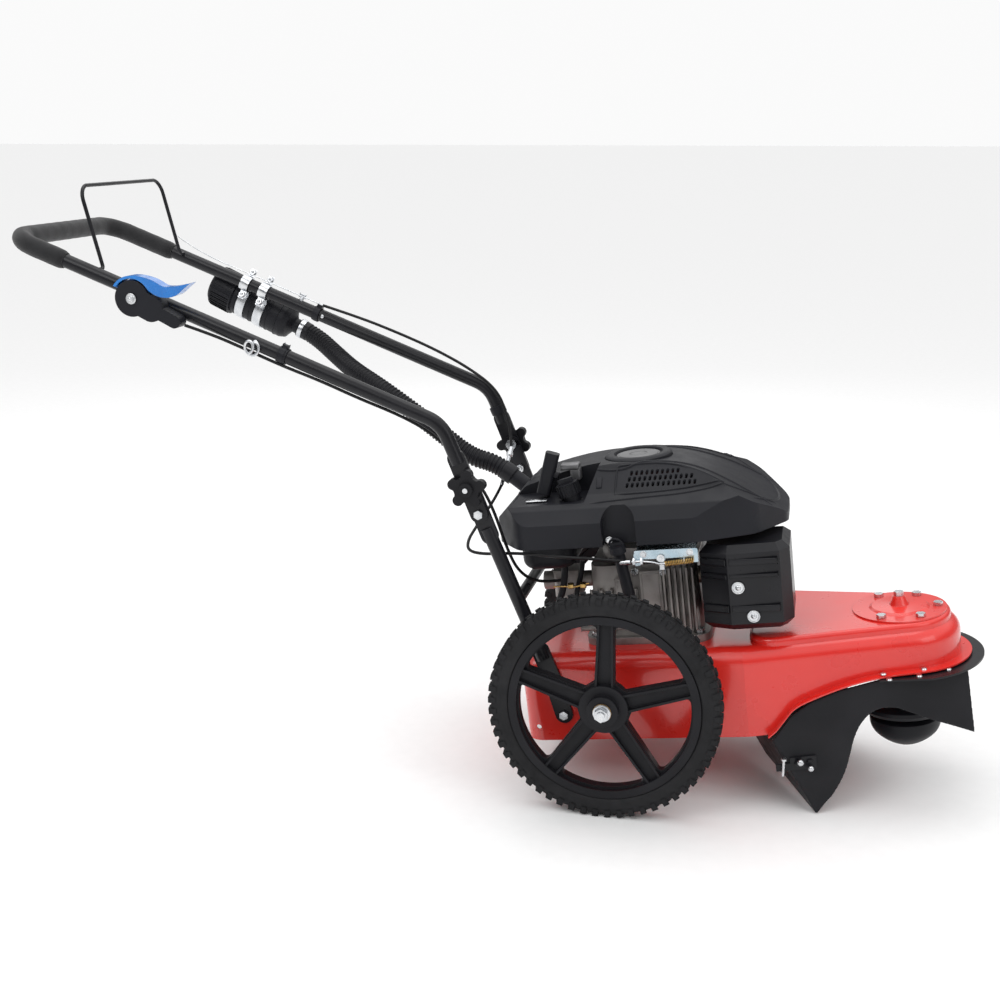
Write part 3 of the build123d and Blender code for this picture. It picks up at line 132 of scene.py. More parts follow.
def bump(material, shader, height, strength, distance, edge=0.0):
    """Bumps the surface and, with edge, rounds its edges by that radius in metres."""
    nodes, links = material.node_tree.nodes, material.node_tree.links
    node = nodes.new("ShaderNodeBump")
    node.inputs["Strength"].default_value = strength
    node.inputs["Distance"].default_value = distance
    links.new(height, node.inputs["Height"])
    if edge:
        rounding = nodes.new("ShaderNodeBevel")
        rounding.samples = 4
        rounding.inputs["Radius"].default_value = edge
        links.new(rounding.outputs["Normal"], node.inputs["Normal"])
    links.new(node.outputs["Normal"], shader.inputs["Normal"])


def finish_material(name, dark, light, rough, rough_spread=0.08, tint_scale=9.0, grain=900.0, grain_height=0.00006,
                    grain_strength=0.35, edge=0.0006, metal=0.0, coat=0.0, coat_rough=0.1, specular=0.5,
                    stretch=(1, 1, 1), detail=4.0):
    """A moulded, painted or metal finish: slow colour drift, uneven gloss and a fine surface grain."""
    material, shader, coordinates = new_material(name, rough, metal, coat, coat_rough, specular)
    links = material.node_tree.links
    drift = noise(material, coordinates, tint_scale, detail)
    links.new(ramp(material, drift, [(0.3, dark), (0.7, light)]), shader.inputs["Base Color"])
    uneven = noise(material, coordinates, tint_scale * 4, 5.0)
    links.new(ramp(material, uneven, [(0.3, rough - rough_spread), (0.75, rough + rough_spread)]),
              shader.inputs["Roughness"])
    bump(material, shader, noise(material, coordinates, grain, 2.0, stretch=stretch), grain_strength, grain_height,
         edge)
    return material


def cellular_material(name, dark, light, rough, scale, height, sheen=0.0, specular=0.3):
    """A foam, rubber or cast skin: small pits from a cell pattern over slow colour drift."""
    material, shader, coordinates = new_material(name, rough, specular=specular)
    links = material.node_tree.links
    shader.inputs["Sheen Weight"].default_value = sheen
    shader.inputs["Sheen Roughness"].default_value = 0.5
    drift = noise(material, coordinates, 14.0, 6.0)
    links.new(ramp(material, drift, [(0.3, dark), (0.7, light)]), shader.inputs["Base Color"])
    uneven = noise(material, coordinates, 60.0, 4.0)
    links.new(ramp(material, uneven, [(0.3, rough - 0.1), (0.7, min(rough + 0.08, 1.0))]), shader.inputs["Roughness"])
    bump(material, shader, cells(material, coordinates, scale), 0.6, height, 0.0005)
    return material


M = {
    "red_paint": finish_material("red_paint", (0.68, 0.014, 0.010), (0.80, 0.030, 0.020), 0.30, 0.05, 5.0, 260.0,
                                 0.00003, 0.08, 0.0012, coat=0.6, coat_rough=0.1),
    "black_paint": finish_material("black_paint", (0.006, 0.006, 0.008), (0.012, 0.012, 0.015), 0.34, 0.07, 12.0,
                                   700.0, 0.00008, 0.3, 0.0006, coat=0.15, coat_rough=0.22, specular=0.22),
    "black_plastic": finish_material("black_plastic", (0.0075, 0.0078, 0.0105), (0.014, 0.0145, 0.019), 0.46, 0.08,
                                     8.0, 1500.0, 0.00009, 0.45, 0.0012, specular=0.22),
    "wheel_plastic": finish_material("wheel_plastic", (0.007, 0.007, 0.009), (0.013, 0.013, 0.016), 0.5, 0.09, 16.0,
                                     1300.0, 0.0001, 0.45, 0.0014, specular=0.22),
    "knob_plastic": finish_material("knob_plastic", (0.006, 0.006, 0.008), (0.012, 0.012, 0.014), 0.45, 0.08, 30.0,
                                    1600.0, 0.00008, 0.4, 0.0016, specular=0.22),
    "grey_plastic": finish_material("grey_plastic", (0.13, 0.13, 0.135), (0.2, 0.2, 0.205), 0.38, 0.08, 30.0, 900.0,
                                    0.00006, 0.3, 0.0005, metal=0.6),
    "blue_plastic": finish_material("blue_plastic", (0.003, 0.14, 0.50), (0.006, 0.20, 0.64), 0.28, 0.06, 18.0,
                                    900.0, 0.00005, 0.25, 0.0016, coat=0.5, coat_rough=0.12),
    "tyre_rubber": cellular_material("tyre_rubber", (0.0065, 0.0065, 0.0075), (0.016, 0.016, 0.018), 0.72, 900.0,
                                     0.0002),
    "flap_rubber": finish_material("flap_rubber", (0.008, 0.008, 0.010), (0.017, 0.017, 0.020), 0.48, 0.1, 11.0,
                                   1100.0, 0.00012, 0.5, 0.0008, specular=0.22),
    "hose_rubber": finish_material("hose_rubber", (0.007, 0.007, 0.009), (0.013, 0.013, 0.016), 0.42, 0.08, 20.0,
                                   900.0, 0.00006, 0.3, 0.0003, specular=0.22),
    "belt_rubber": cellular_material("belt_rubber", (0.01, 0.01, 0.01), (0.03, 0.03, 0.03), 0.8, 1200.0, 0.0002),
    "grip_foam": cellular_material("grip_foam", (0.008, 0.008, 0.009), (0.019, 0.019, 0.021), 0.82, 1500.0,
                                   0.0003, sheen=0.25),
    "cable_jacket": finish_material("cable_jacket", (0.006, 0.006, 0.007), (0.012, 0.012, 0.013), 0.4, 0.08, 40.0,
                                    1200.0, 0.00004, 0.3, 0.0002, specular=0.22),
    "zinc_steel": finish_material("zinc_steel", (0.52, 0.54, 0.57), (0.75, 0.76, 0.77), 0.28, 0.1, 60.0, 1500.0,
                                  0.00004, 0.25, 0.0004, metal=1.0),
    "bracket_zinc": finish_material("bracket_zinc", (0.30, 0.42, 0.50), (0.55, 0.63, 0.68), 0.26, 0.1, 35.0, 1200.0,
                                    0.00004, 0.25, 0.0005, metal=1.0),
    "machined_steel": finish_material("machined_steel", (0.42, 0.42, 0.43), (0.58, 0.58, 0.59), 0.3, 0.08, 40.0,
                                      1300.0, 0.00005, 0.3, 0.0005, metal=1.0, stretch=(1, 1, 12)),
    "muffler_steel": finish_material("muffler_steel", (0.10, 0.07, 0.05), (0.30, 0.26, 0.22), 0.5, 0.12, 30.0,
                                     700.0, 0.0001, 0.4, 0.0008, metal=1.0),
    "cast_aluminium": finish_material("cast_aluminium", (0.20, 0.185, 0.18), (0.40, 0.375, 0.36), 0.52, 0.1, 26.0,
                                      650.0, 0.0003, 0.55, 0.0012, metal=0.75, detail=7.0),
    "cast_iron": finish_material("cast_iron", (0.05, 0.05, 0.05), (0.12, 0.115, 0.11), 0.6, 0.1, 40.0, 500.0,
                                 0.0003, 0.6, 0.001, metal=0.8),
    "spring_brass": finish_material("spring_brass", (0.50, 0.30, 0.09), (0.72, 0.50, 0.20), 0.3, 0.08, 80.0, 900.0,
                                    0.00003, 0.2, 0.0002, metal=1.0),
    "bronze": finish_material("bronze", (0.32, 0.2, 0.09), (0.48, 0.32, 0.16), 0.45, 0.08, 60.0, 1200.0, 0.00006,
                              0.4, 0.0004, metal=0.9),
}

for part in frame["record"]["subparts"]:
    node = NODES[part["node"]]
    node.data.materials.clear()
    node.data.materials.append(M[part["material_slot"]])
NODES["brake_bracket"].data.materials[0] = M["bracket_zinc"]
NODES["starter_cover"].data.materials[0] = M["black_plastic"]


# ---- mesh helpers -----------------------------------------------------------------------------
def make_piece(name, mesh, body, slot, material=None, smooth=True, replaces=()):
    """Puts a mesh in the scene, riding on a CAD body."""
    if smooth:
        mesh.shade_smooth()
    piece = bpy.data.objects.new(name, mesh)
    bpy.context.scene.collection.objects.link(piece)
    mesh.materials.clear()
    mesh.materials.append(material or M[slot])
    if body:
        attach(piece, body)
    if replaces:
        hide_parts(*replaces)
    return piece


def mesh_from(name, verts, faces):
    mesh = bpy.data.meshes.new(name)
    mesh.from_pydata([tuple(v) for v in verts], [], faces)
    mesh.validate()
    return mesh


def clean(mesh, sharp=35.0):
    """Points every face outwards and keeps edges steeper than sharp degrees crisp."""
    work = bmesh.new()
    work.from_mesh(mesh)
    bmesh.ops.remove_doubles(work, verts=work.verts, dist=1e-6)
    bmesh.ops.recalc_face_normals(work, faces=work.faces)
    work.to_mesh(mesh)
    work.free()
    mesh.shade_smooth()
    mesh.set_sharp_from_angle(angle=math.radians(sharp))
    return mesh


def cross_frame(axis):
    """Two directions square to an axis and to each other."""
    axis = axis.normalized()
    helper = Vector((0, 1, 0)) if abs(axis.y) < 0.9 else Vector((1, 0, 0))
    across = axis.cross(helper).normalized()
    return across, axis.cross(across).normalized()


def lathe(name, origin, axis, profile, steps=48, sharp=35.0):
    """A mesh turned about an axis from (radius, height) millimetre points."""
    axis = axis.normalized()
    across, upwards = cross_frame(axis)
    verts, faces = [], []
    for i in range(steps):
        turn = 2 * math.pi * i / steps
        outwards = across * math.cos(turn) + upwards * math.sin(turn)
        verts += [origin + (outwards * r + axis * h) / 1000 for r, h in profile]
    count = len(profile)
    for i in range(steps):
        j = (i + 1) % steps
        faces += [(i * count + k, j * count + k, j * count + k + 1, i * count + k + 1) for k in range(count - 1)]
    return clean(mesh_from(name, verts, faces), sharp)


def smooth_line(points):
    """The line of the NURBS spline that has these points as its control points."""
    curve = bpy.data.curves.new("line", "CURVE")
    curve.dimensions = "3D"
    curve.resolution_u = 24
    spline = curve.splines.new("NURBS")
    spline.points.add(len(points) - 1)
    for point, place in zip(spline.points, points):
        point.co = (*place, 1)
    spline.order_u = 3
    spline.use_endpoint_u = True
    holder = bpy.data.objects.new("line", curve)
    line = bpy.data.meshes.new_from_object(holder)
    places = [v.co.copy() for v in line.vertices]
    bpy.data.objects.remove(holder)
    bpy.data.meshes.remove(line)
    return places


def evenly(line, spacing):
    """Points along a line, spacing apart (metres), with both its ends."""
    runs = [(b - a).length for a, b in zip(line, line[1:])]
    total = sum(runs)
    count = max(2, round(total / spacing))
    places, i, passed = [], 0, 0.0
    for n in range(count + 1):
        target = total * n / count
        while i < len(runs) - 1 and passed + runs[i] < target:
            passed += runs[i]
            i += 1
        share = (target - passed) / runs[i] if runs[i] else 0.0
        places.append(line[i].lerp(line[i + 1], min(max(share, 0), 1)))
    return places


def tube(name, line, radius, around=16, caps=True, sharp=40.0):
    """A tube mesh along a line; radius is a number or a function of the place's index (millimetres)."""
    verts, faces = [], []
    up = cross_frame(line[1] - line[0])[0]
    for i, place in enumerate(line):
        ahead = (line[min(i + 1, len(line) - 1)] - line[max(i - 1, 0)]).normalized()
        up = (up - ahead * up.dot(ahead)).normalized()
        other = ahead.cross(up)
        r = (radius(i) if callable(radius) else radius) / 1000
        for k in range(around):
            turn = 2 * math.pi * k / around
            verts.append(place + (up * math.cos(turn) + other * math.sin(turn)) * r)
    for i in range(len(line) - 1):
        for k in range(around):
            n = (k + 1) % around
            faces.append((i * around + k, i * around + n, (i + 1) * around + n, (i + 1) * around + k))
    if caps:
        faces.append(tuple(range(around)))
        last = (len(line) - 1) * around
        faces.append(tuple(range(last, last + around)))
    return clean(mesh_from(name, verts, faces), sharp)


def joined(name, meshes):
    """One mesh from several."""
    work = bmesh.new()
    for mesh in meshes:
        work.from_mesh(mesh)
        bpy.data.meshes.remove(mesh)
    whole = bpy.data.meshes.new(name)
    work.to_mesh(whole)
    work.free()
    return whole


def box_mesh(name, centre, ways, sizes, rounding=0.8):
    """A box with rounded edges: ways are its three directions, sizes its millimetre sizes."""
    work = bmesh.new()
    bmesh.ops.create_cube(work, size=1)
    turn = Matrix([w.normalized() for w in ways]).transposed()
    for v in work.verts:
        v.co = centre + turn @ Vector([c * s / 1000 for c, s in zip(v.co, sizes)])
    bmesh.ops.bevel(work, geom=work.edges, offset=rounding / 1000, segments=3, profile=0.5, affect="EDGES")
    mesh = bpy.data.meshes.new(name)
    work.to_mesh(mesh)
    work.free()
    return clean(mesh)


def hex_head(name, base, axis, flats, height, washer=0.0):
    """A hexagon head with a chamfered crown, on a washer when its radius is given (millimetres)."""
    axis = axis.normalized()
    across, upwards = cross_frame(axis)
    corner = flats / math.cos(math.radians(30))
    verts, faces = [], []
    for height_here, scale in ((0, 1.0), (height * 0.8, 1.0), (height, 0.86)):
        for k in range(6):
            turn = math.radians(60 * k)
            out = (across * math.cos(turn) + upwards * math.sin(turn)) * corner * scale
            verts.append(base + (out + axis * height_here) / 1000)
    for layer in range(2):
        for k in range(6):
            n = (k + 1) % 6
            faces.append((layer * 6 + k, layer * 6 + n, layer * 6 + 6 + n, layer * 6 + 6 + k))
    faces += [tuple(range(6)), tuple(range(12, 18))]
    meshes = [clean(mesh_from(name, verts, faces))]
    if washer:
        meshes.append(lathe(name, base, axis, [(0, 0.6), (washer - 0.4, 0.6), (washer, 0.2), (washer, -0.4)], 32))
    return joined(name, meshes)


# ---- wheels ------------------------------------------------------------------------------------
def tyre_mesh(name, centre, seed):
    """A carcass of revolution with sidewall ribs and three rows of raised tread blocks."""
    shade = random.Random(seed)
    across, upwards = Vector((1, 0, 0)), Vector((0, 0, 1))
    profile = [(146.5, -12), (148.5, -14.6), (152, -15.6), (155, -15.2), (161, -16.2), (167, -15.6), (172.5, -14.0),
               (174.6, -8), (175.2, 0), (174.6, 8), (172.5, 14.0), (167, 15.6), (161, 16.2), (155, 15.2), (152, 15.6),
               (148.5, 14.6), (146.5, 12), (146.5, -12)]
    carcass = lathe(name, centre, DECK_Y, profile, 144, 60)
    verts, faces = [], []

    def place(angle, y, radius):
        return centre + (across * math.cos(angle) * radius + upwards * math.sin(angle) * radius + DECK_Y * y) / 1000

    def block(outline, low, high, shrink=0.93):
        """A raised block: outline is (angle, y) points, low and high its radii in millimetres."""
        middle = [sum(c) / len(outline) for c in zip(*outline)]
        first = len(verts)
        for radius, scale in ((low, 1.0), (high - 0.6, 0.97), (high, shrink)):
            for angle, y in outline:
                verts.append(place(middle[0] + (angle - middle[0]) * scale, middle[1] + (y - middle[1]) * scale,
                                   radius))
        n = len(outline)
        for layer in range(2):
            for k in range(n):
                j = (k + 1) % n
                a = first + layer * n
                faces.append((a + k, a + j, a + n + j, a + n + k))
        faces.append(tuple(range(first + 2 * n, first + 3 * n)))

    pitches = 58
    step = 2 * math.pi / pitches
    for i in range(pitches):
        turn = i * step + shade.uniform(-0.02, 0.02) * step
        for way in (-1, 1):
            shift = turn + (step / 2 if way > 0 else 0)
            block([(shift - step * 0.30, way * 6.2), (shift + step * 0.16, way * 6.8), (shift + step * 0.30, way * 15.8),
                   (shift - step * 0.22, way * 16.4)], 171.5, 177.6)
            block([(shift - step * 0.22, way * 15.0), (shift + step * 0.28, way * 15.0), (shift + step * 0.24, way * 17.0),
                   (shift - step * 0.18, way * 17.0)], 165.5, 174.6, 0.9)
        block([(turn - step * 0.32, -4.6), (turn + step * 0.05, -5.0), (turn + step * 0.34, -0.4),
               (turn + step * 0.12, 4.6), (turn - step * 0.25, 4.8), (turn - step * 0.02, 0.2)], 171.5, 177.9)
    lugs = clean(mesh_from(name, verts, faces), 30)
    return joined(name, [carcass, lugs])


for seed, side_name in enumerate(("right", "left")):
    low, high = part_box(side_name + "_tyre")
    make_piece(side_name + "_treaded_tyre", tyre_mesh(side_name + "_treaded_tyre", (low + high) / 2, seed),
               side_name + "_wheel", "tyre_rubber", smooth=False, replaces=[side_name + "_tyre"])
    way = -1 if side_name == "right" else 1
    hub_face = (low + high) / 2 + DECK_Y * way * 0.0307
    make_piece(side_name + "_hub_washer", lathe(side_name + "_hub_washer", hub_face, DECK_Y * way, [
        (0, 0.4), (8, 0.4), (9.5, 0.4), (12.6, 0.5), (13.3, 0.1), (13.3, -0.6)], 40), "chassis", "zinc_steel")

# ---- handle grip, hose and cables --------------------------------------------------------------
HANDLE_Y = 155.7
BEND = (-269.0, 586.0)
CORNER = (-968.0, 853.0)
HANDLE_SLOPE = (CORNER[1] - BEND[1]) / (CORNER[0] - BEND[0])


def on_handle(x, y, rise=0.0):
    return at(x, y, BEND[1] + HANDLE_SLOPE * (x - BEND[0]) + rise)


def rounded_route(corners, radius, steps=10):
    """A line through corners with each inner corner rounded by a circular arc of radius (metres)."""
    line = [corners[0]]
    for before, here, after in zip(corners, corners[1:], corners[2:]):
        back, ahead = (before - here).normalized(), (after - here).normalized()
        half = back.angle(ahead) / 2
        reach = radius / math.tan(half)
        centre = here + (back + ahead).normalized() * radius / math.sin(half)
        start, end = here + back * reach, here + ahead * reach
        for i in range(steps + 1):
            place = start.lerp(end, i / steps)
            line.append(centre + (place - centre).normalized() * radius)
    return line + [corners[-1]]


grip_line = evenly(rounded_route([
    on_handle(-878, -HANDLE_Y), at(CORNER[0], -HANDLE_Y, CORNER[1]), at(CORNER[0], HANDLE_Y, CORNER[1]),
    on_handle(-847, HANDLE_Y)], 0.04), 0.004)
GRIP_R = 15.4


def grip_radius(i):
    """The foam sleeve's radius: full along its length, rolled in at both ends."""
    edge = min(i, len(grip_line) - 1 - i)
    return GRIP_R - (2.6, 1.0, 0.3)[edge] if edge < 3 else GRIP_R - 0.25 * (1 + math.sin(i * 0.9)) / 2


make_piece("foam_grip", tube("foam_grip", grip_line, grip_radius, 32), "handle", "grip_foam", smooth=False,
           replaces=["grip"])

FILTER_BACK = at(-786, 196, 747.5)
FILTER_AXIS = (at(-621, 196, 669.5) - FILTER_BACK).normalized()


def filter_at(distance):
    """A point on the air filter's axis, in millimetres from its rear cap."""
    return FILTER_BACK + FILTER_AXIS * distance / 1000


HOSE = [filter_at(174), filter_at(208), at(-552, 168, 632), at(-505, 126, 612), at(-450, 99, 590),
        at(-392, 86, 557), at(-334, 76, 519), at(-278, 66, 482), deck_at(-147, 52, 284) + Vector((-52.2, 7.25, 33.35)) / 1000,
        deck_at(-147, 52, 284) + Vector((-21.6, 3.0, 13.8)) / 1000]
hose_line = evenly(smooth_line(HOSE), 0.0011)


def hose_radius(i):
    """Corrugations 6.6 mm apart, with a plain cuff at each end."""
    if min(i, len(hose_line) - 1 - i) < 18:
        return 16.4
    return 15.2 + 1.2 * math.cos(2 * math.pi * i / 6)


hose = make_piece("corrugated_hose", tube("corrugated_hose", hose_line, hose_radius, 28, sharp=180), None,
                  "hose_rubber", smooth=False, replaces=["intake_hose"])
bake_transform(hose)

BRAKE = [
    at(-566, 150, 720), at(-500, 151, 701), at(-430, 152, 676), at(-365, 152, 650), at(-305, 149, 621),
    at(-253, 143, 587), at(-233, 139, 545), at(-222, 126, 505), at(-218, 106, 470), at(-223, 74, 443),
    at(-230, 38, 421), at(-238, 0, 404), at(-244, -42, 391), at(-247, -84, 381), at(-238, -118, 374),
    at(-208, -128, 374), at(-165, -128, 379), at(-124, -140, 383), at(-84, -153, 386), at(-40, -157, 388),
    deck_at(52, -156, 204)]
WIRE = [at(-827, 136, 836), at(-788, 144, 806), at(-700, 150, 772), at(-566, 150, 720)]
THROTTLE = [
    at(-671, -178, 726.5), at(-630, -166, 711), at(-580, -161, 690), at(-520, -161, 666), at(-460, -159, 645),
    at(-400, -157, 620), at(-345, -152, 599), at(-300, -142, 575), at(-264, -136, 545), at(-236, -134, 512),
    at(-208, -131, 478), at(-192, -126, 440), at(-182, -118, 403), at(-173, -109, 372), at(-164, -98, 346),
    at(-150, -80, 324), at(-126, -68, 314), deck_at(-80, -60, 150)]
brake_line = evenly(smooth_line(BRAKE), 0.004)
brake_casing = make_piece("brake_casing", tube("brake_casing", brake_line, 2.5, 14), None, "cable_jacket",
                          smooth=False, replaces=["brake_cable"])
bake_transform(brake_casing)
make_piece("brake_wire", tube("brake_wire", evenly(smooth_line(WIRE), 0.006), 0.9, 10), "handle", "zinc_steel",
           smooth=False)
throttle_line = evenly(smooth_line(THROTTLE), 0.004)
throttle_casing = make_piece("throttle_casing", tube("throttle_casing", throttle_line, 2.5, 14), None,
                             "cable_jacket", smooth=False, replaces=["throttle_cable"])
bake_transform(throttle_casing)


# ---- debris flap -------------------------------------------------------------------------------
def flap_mesh():
    """The CAD flap remeshed finely, its edges softened and its panels slightly wavy."""
    mesh = NODES["debris_flap"].data.copy()
    mesh.name = "rubber_flap"
    holder = bpy.data.objects.new("flap_holder", mesh)
    bpy.context.scene.collection.objects.link(holder)
    remesh = holder.modifiers.new("remesh", "REMESH")
    remesh.mode = "VOXEL"
    remesh.voxel_size = 0.0017
    soften = holder.modifiers.new("soften", "SMOOTH")
    soften.iterations = 3
    depsgraph = bpy.context.evaluated_depsgraph_get()
    result = bpy.data.meshes.new_from_object(holder.evaluated_get(depsgraph))
    bpy.data.objects.remove(holder)
    top = max(v.co.z for v in result.vertices)
    for v in result.vertices:
        hang = min(max((top - 0.02 - v.co.z) / 0.12, 0), 1)
        wave = math.sin(v.co.x * 46 + v.co.z * 31) * math.cos(v.co.x * 17 - v.co.z * 52)
        v.co.y += math.copysign(1, v.co.y) * hang * wave * 0.0022 if abs(v.co.y) > 0.02 else 0
    result.shade_smooth()
    return result


make_piece("rubber_flap", flap_mesh(), "chassis", "flap_rubber", replaces=["debris_flap"])

# ---- brake spring --------------------------------------------------------------------------------
spring_low, spring_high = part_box("brake_spring")
spring_start = Vector((spring_low.x, (spring_low.y + spring_high.y) / 2, spring_low.z + 0.0045))
spring_end = Vector((spring_high.x, spring_start.y, spring_high.z - 0.0045))
spring_way = spring_end - spring_start
spring_across, spring_up = cross_frame(spring_way)
COILS, COIL_STEPS = 17, 14
spring_line = []
for n in range(COILS * COIL_STEPS + 1):
    turn = 2 * math.pi * n / COIL_STEPS
    share = n / (COILS * COIL_STEPS)
    spring_line.append(spring_start + spring_way * share
                       + (spring_across * math.cos(turn) + spring_up * math.sin(turn)) * 0.0037)
make_piece("spring_coil", tube("spring_coil", spring_line, 0.75, 8), "chassis", "spring_brass", smooth=False,
           replaces=["brake_spring"])

# ---- fittings on the handle ------------------------------------------------------------------------
HANDLE_FORWARD = (at(BEND[0], 0, BEND[1]) - at(CORNER[0], 0, CORNER[1])).normalized()
HANDLE_UP = HANDLE_FORWARD.cross(DECK_Y).normalized()
HANDLE_UP = HANDLE_UP if HANDLE_UP.z > 0 else -HANDLE_UP


def dome(name, base, axis, radius, height):
    """A low round head, radius and height in millimetres."""
    return lathe(name, base, axis, [
        (0, height), (radius * 0.45, height * 0.94), (radius * 0.8, height * 0.66), (radius, height * 0.2),
        (radius, -0.4)], 24, 60)


throttle_screw = at(-751, -192.4, 766.5)
make_piece("throttle_screw", joined("throttle_screw", [
    lathe("throttle_washer", throttle_screw, -DECK_Y, [(0, 0.9), (7.6, 0.9), (8.4, 0.3), (8.4, -0.6)], 32),
    hex_head("throttle_nut", throttle_screw - DECK_Y * 0.0009, -DECK_Y, 5.2, 3.4),
    dome("throttle_end", throttle_screw - DECK_Y * 0.0042, -DECK_Y, 2.6, 1.6)]), "handle", "zinc_steel", smooth=False)


def saddle(name, middle, axis, out):
    """A pressed saddle over a handle tube with a bolted ear on each side."""
    along = out.cross(axis).normalized()
    verts, faces = [], []
    outline = [(-13, 27), (-13, 14), (-12.2, 11.6)]
    arc = [(11.9, math.radians(a)) for a in range(-75, 76, 15)]
    strip = [(-29, -1.2), (-15, -1.2)] + [(12.9 * math.sin(a), 12.9 * math.cos(a) - 1.0) for _, a in arc]
    strip += [(15, -1.2), (29, -1.2)]
    for width in (-5.5, 5.5):
        for lift in (0.0, 1.8):
            for run, height in strip:
                bulge = lift if abs(run) > 14 else lift
                scale = 1 + (lift / 12.9 if abs(run) < 13 else 0)
                verts.append(middle + (axis * width + along * run * scale + out * (height + bulge)) / 1000)
    n = len(strip)
    low_a, high_a, low_b, high_b = 0, n, 2 * n, 3 * n
    for k in range(n - 1):
        faces += [(high_a + k, high_a + k + 1, high_b + k + 1, high_b + k),
                  (low_a + k, low_b + k, low_b + k + 1, low_a + k + 1),
                  (low_a + k, low_a + k + 1, high_a + k + 1, high_a + k),
                  (low_b + k, high_b + k, high_b + k + 1, low_b + k + 1)]
    for end in (0, n - 1):
        faces.append((low_a + end, high_a + end, high_b + end, low_b + end))
    meshes = [clean(mesh_from(name, verts, faces), 50)]
    for side in (-1, 1):
        seat = middle + (along * side * 22.5 + out * 0.7) / 1000
        meshes.append(hex_head(name + "_nut", seat, out, 5.0, 4.2, 6.4))
        meshes.append(dome(name + "_end", seat + out * 0.0042, out, 2.9, 3.2))
    return joined(name, meshes)


facing = (Vector((0, -1, 0)) * 0.88 + HANDLE_UP * 0.48).normalized()
for i, x in enumerate((-708, -676)):
    make_piece(f"filter_saddle_{i}", saddle("saddle", on_handle(x, HANDLE_Y), HANDLE_FORWARD, facing), "handle",
               "zinc_steel", smooth=False)

cap_ribs = []
for k in range(28):
    turn = 2 * math.pi * k / 28
    across, upwards = cross_frame(FILTER_AXIS)
    outwards = across * math.cos(turn) + upwards * math.sin(turn)
    cap_ribs.append(box_mesh("rib", filter_at(25) + outwards * 0.0361, [FILTER_AXIS, outwards.cross(FILTER_AXIS), outwards],
                             (34, 3.2, 1.6), 0.6))
make_piece("filter_cap_ribs", joined("filter_cap_ribs", cap_ribs), "handle", "black_plastic", smooth=False)
rings = [lathe("ring", filter_at(d), FILTER_AXIS, [(31.6, -1.6), (32.9, -1.0), (33.1, 0), (32.9, 1.0), (31.6, 1.6)], 48)
         for d in (54, 84, 118, 136)]
make_piece("filter_rings", joined("filter_rings", rings), "handle", "black_plastic", smooth=False)
make_piece("hose_clip", lathe("hose_clip", filter_at(180), FILTER_AXIS, [
    (16.6, -4), (17.6, -4), (17.8, -3), (17.4, 0), (17.8, 3), (17.6, 4), (16.6, 4)], 40), "handle", "zinc_steel",
    smooth=False)

stay = on_handle(-612, HANDLE_Y)
make_piece("wing_bolt", joined("wing_bolt", [
    dome("wing_boss", stay + HANDLE_UP * 0.0108, HANDLE_UP, 4.2, 6),
    box_mesh("wing_tab", stay + HANDLE_UP * 0.019, [HANDLE_FORWARD, HANDLE_UP, DECK_Y], (12, 7, 2), 0.9)]),
    "handle", "zinc_steel", smooth=False)
for name, x, y in (("far_tie", -578, HANDLE_Y), ("near_tie", -520, -HANDLE_Y)):
    place = on_handle(x, y)
    tie = [lathe("tie_band", place, HANDLE_FORWARD, [(12.4, -4.5), (13.6, -4.2), (13.6, 4.2), (12.4, 4.5)], 36),
           box_mesh("tie_block", place + HANDLE_UP * 0.0145, [HANDLE_FORWARD, HANDLE_UP, DECK_Y], (9, 6, 9), 1.2)]
    make_piece(name, joined(name, tie), "handle", "black_plastic", smooth=False)
make_piece("far_tie_rivet", dome("far_tie_rivet", on_handle(-566, HANDLE_Y - 11.5, 2), Vector((0, -1, 0)), 3.4, 2.0),
           "handle", "zinc_steel", smooth=False)

eye = on_handle(-566, -172.5, -6)
pigtail = []
for n in range(65):
    turn = 2 * math.pi * (n / 64 * 1.55 - 0.2)
    pigtail.append(eye + Vector((0.0088 * math.cos(turn), -0.0035 + 0.0075 * n / 64, 0.0105 * math.sin(turn)))
                   + HANDLE_FORWARD * 0.012 * (n / 64 - 0.5))
pigtail += [pigtail[-1] + Vector((0.004, 0.006, 0.004)), on_handle(-556, -166.5, 2)]
make_piece("rope_pigtail", tube("rope_pigtail", evenly(pigtail, 0.0012), 2.3, 14), "handle", "zinc_steel",
           smooth=False, replaces=["rope_guide"])

# ---- cable adjuster and brake linkage -------------------------------------------------------------
adjuster_top, adjuster_foot = brake_line[-1], brake_line[-1]
for i, place in enumerate(brake_line[:-1]):
    if place.z < 0.492 and adjuster_top is brake_line[-1]:
        adjuster_top = place
    if place.z < 0.438 and adjuster_foot is brake_line[-1]:
        adjuster_foot = place
barrel_way = (adjuster_foot - adjuster_top).normalized()
barrel_length = (adjuster_foot - adjuster_top).length * 1000
barrel = make_piece("cable_adjuster", lathe("cable_adjuster", adjuster_top, barrel_way, [
    (2.6, -2), (4.2, 0), (4.2, 10), (5.6, 10.5), (5.6, 17), (3.4, 18), (3.4, barrel_length * 0.55),
    (4.6, barrel_length * 0.56), (4.6, barrel_length * 0.72), (3.2, barrel_length * 0.74), (3.2, barrel_length),
    (2.6, barrel_length + 2)], 24), None, "zinc_steel", smooth=False)
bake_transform(barrel)

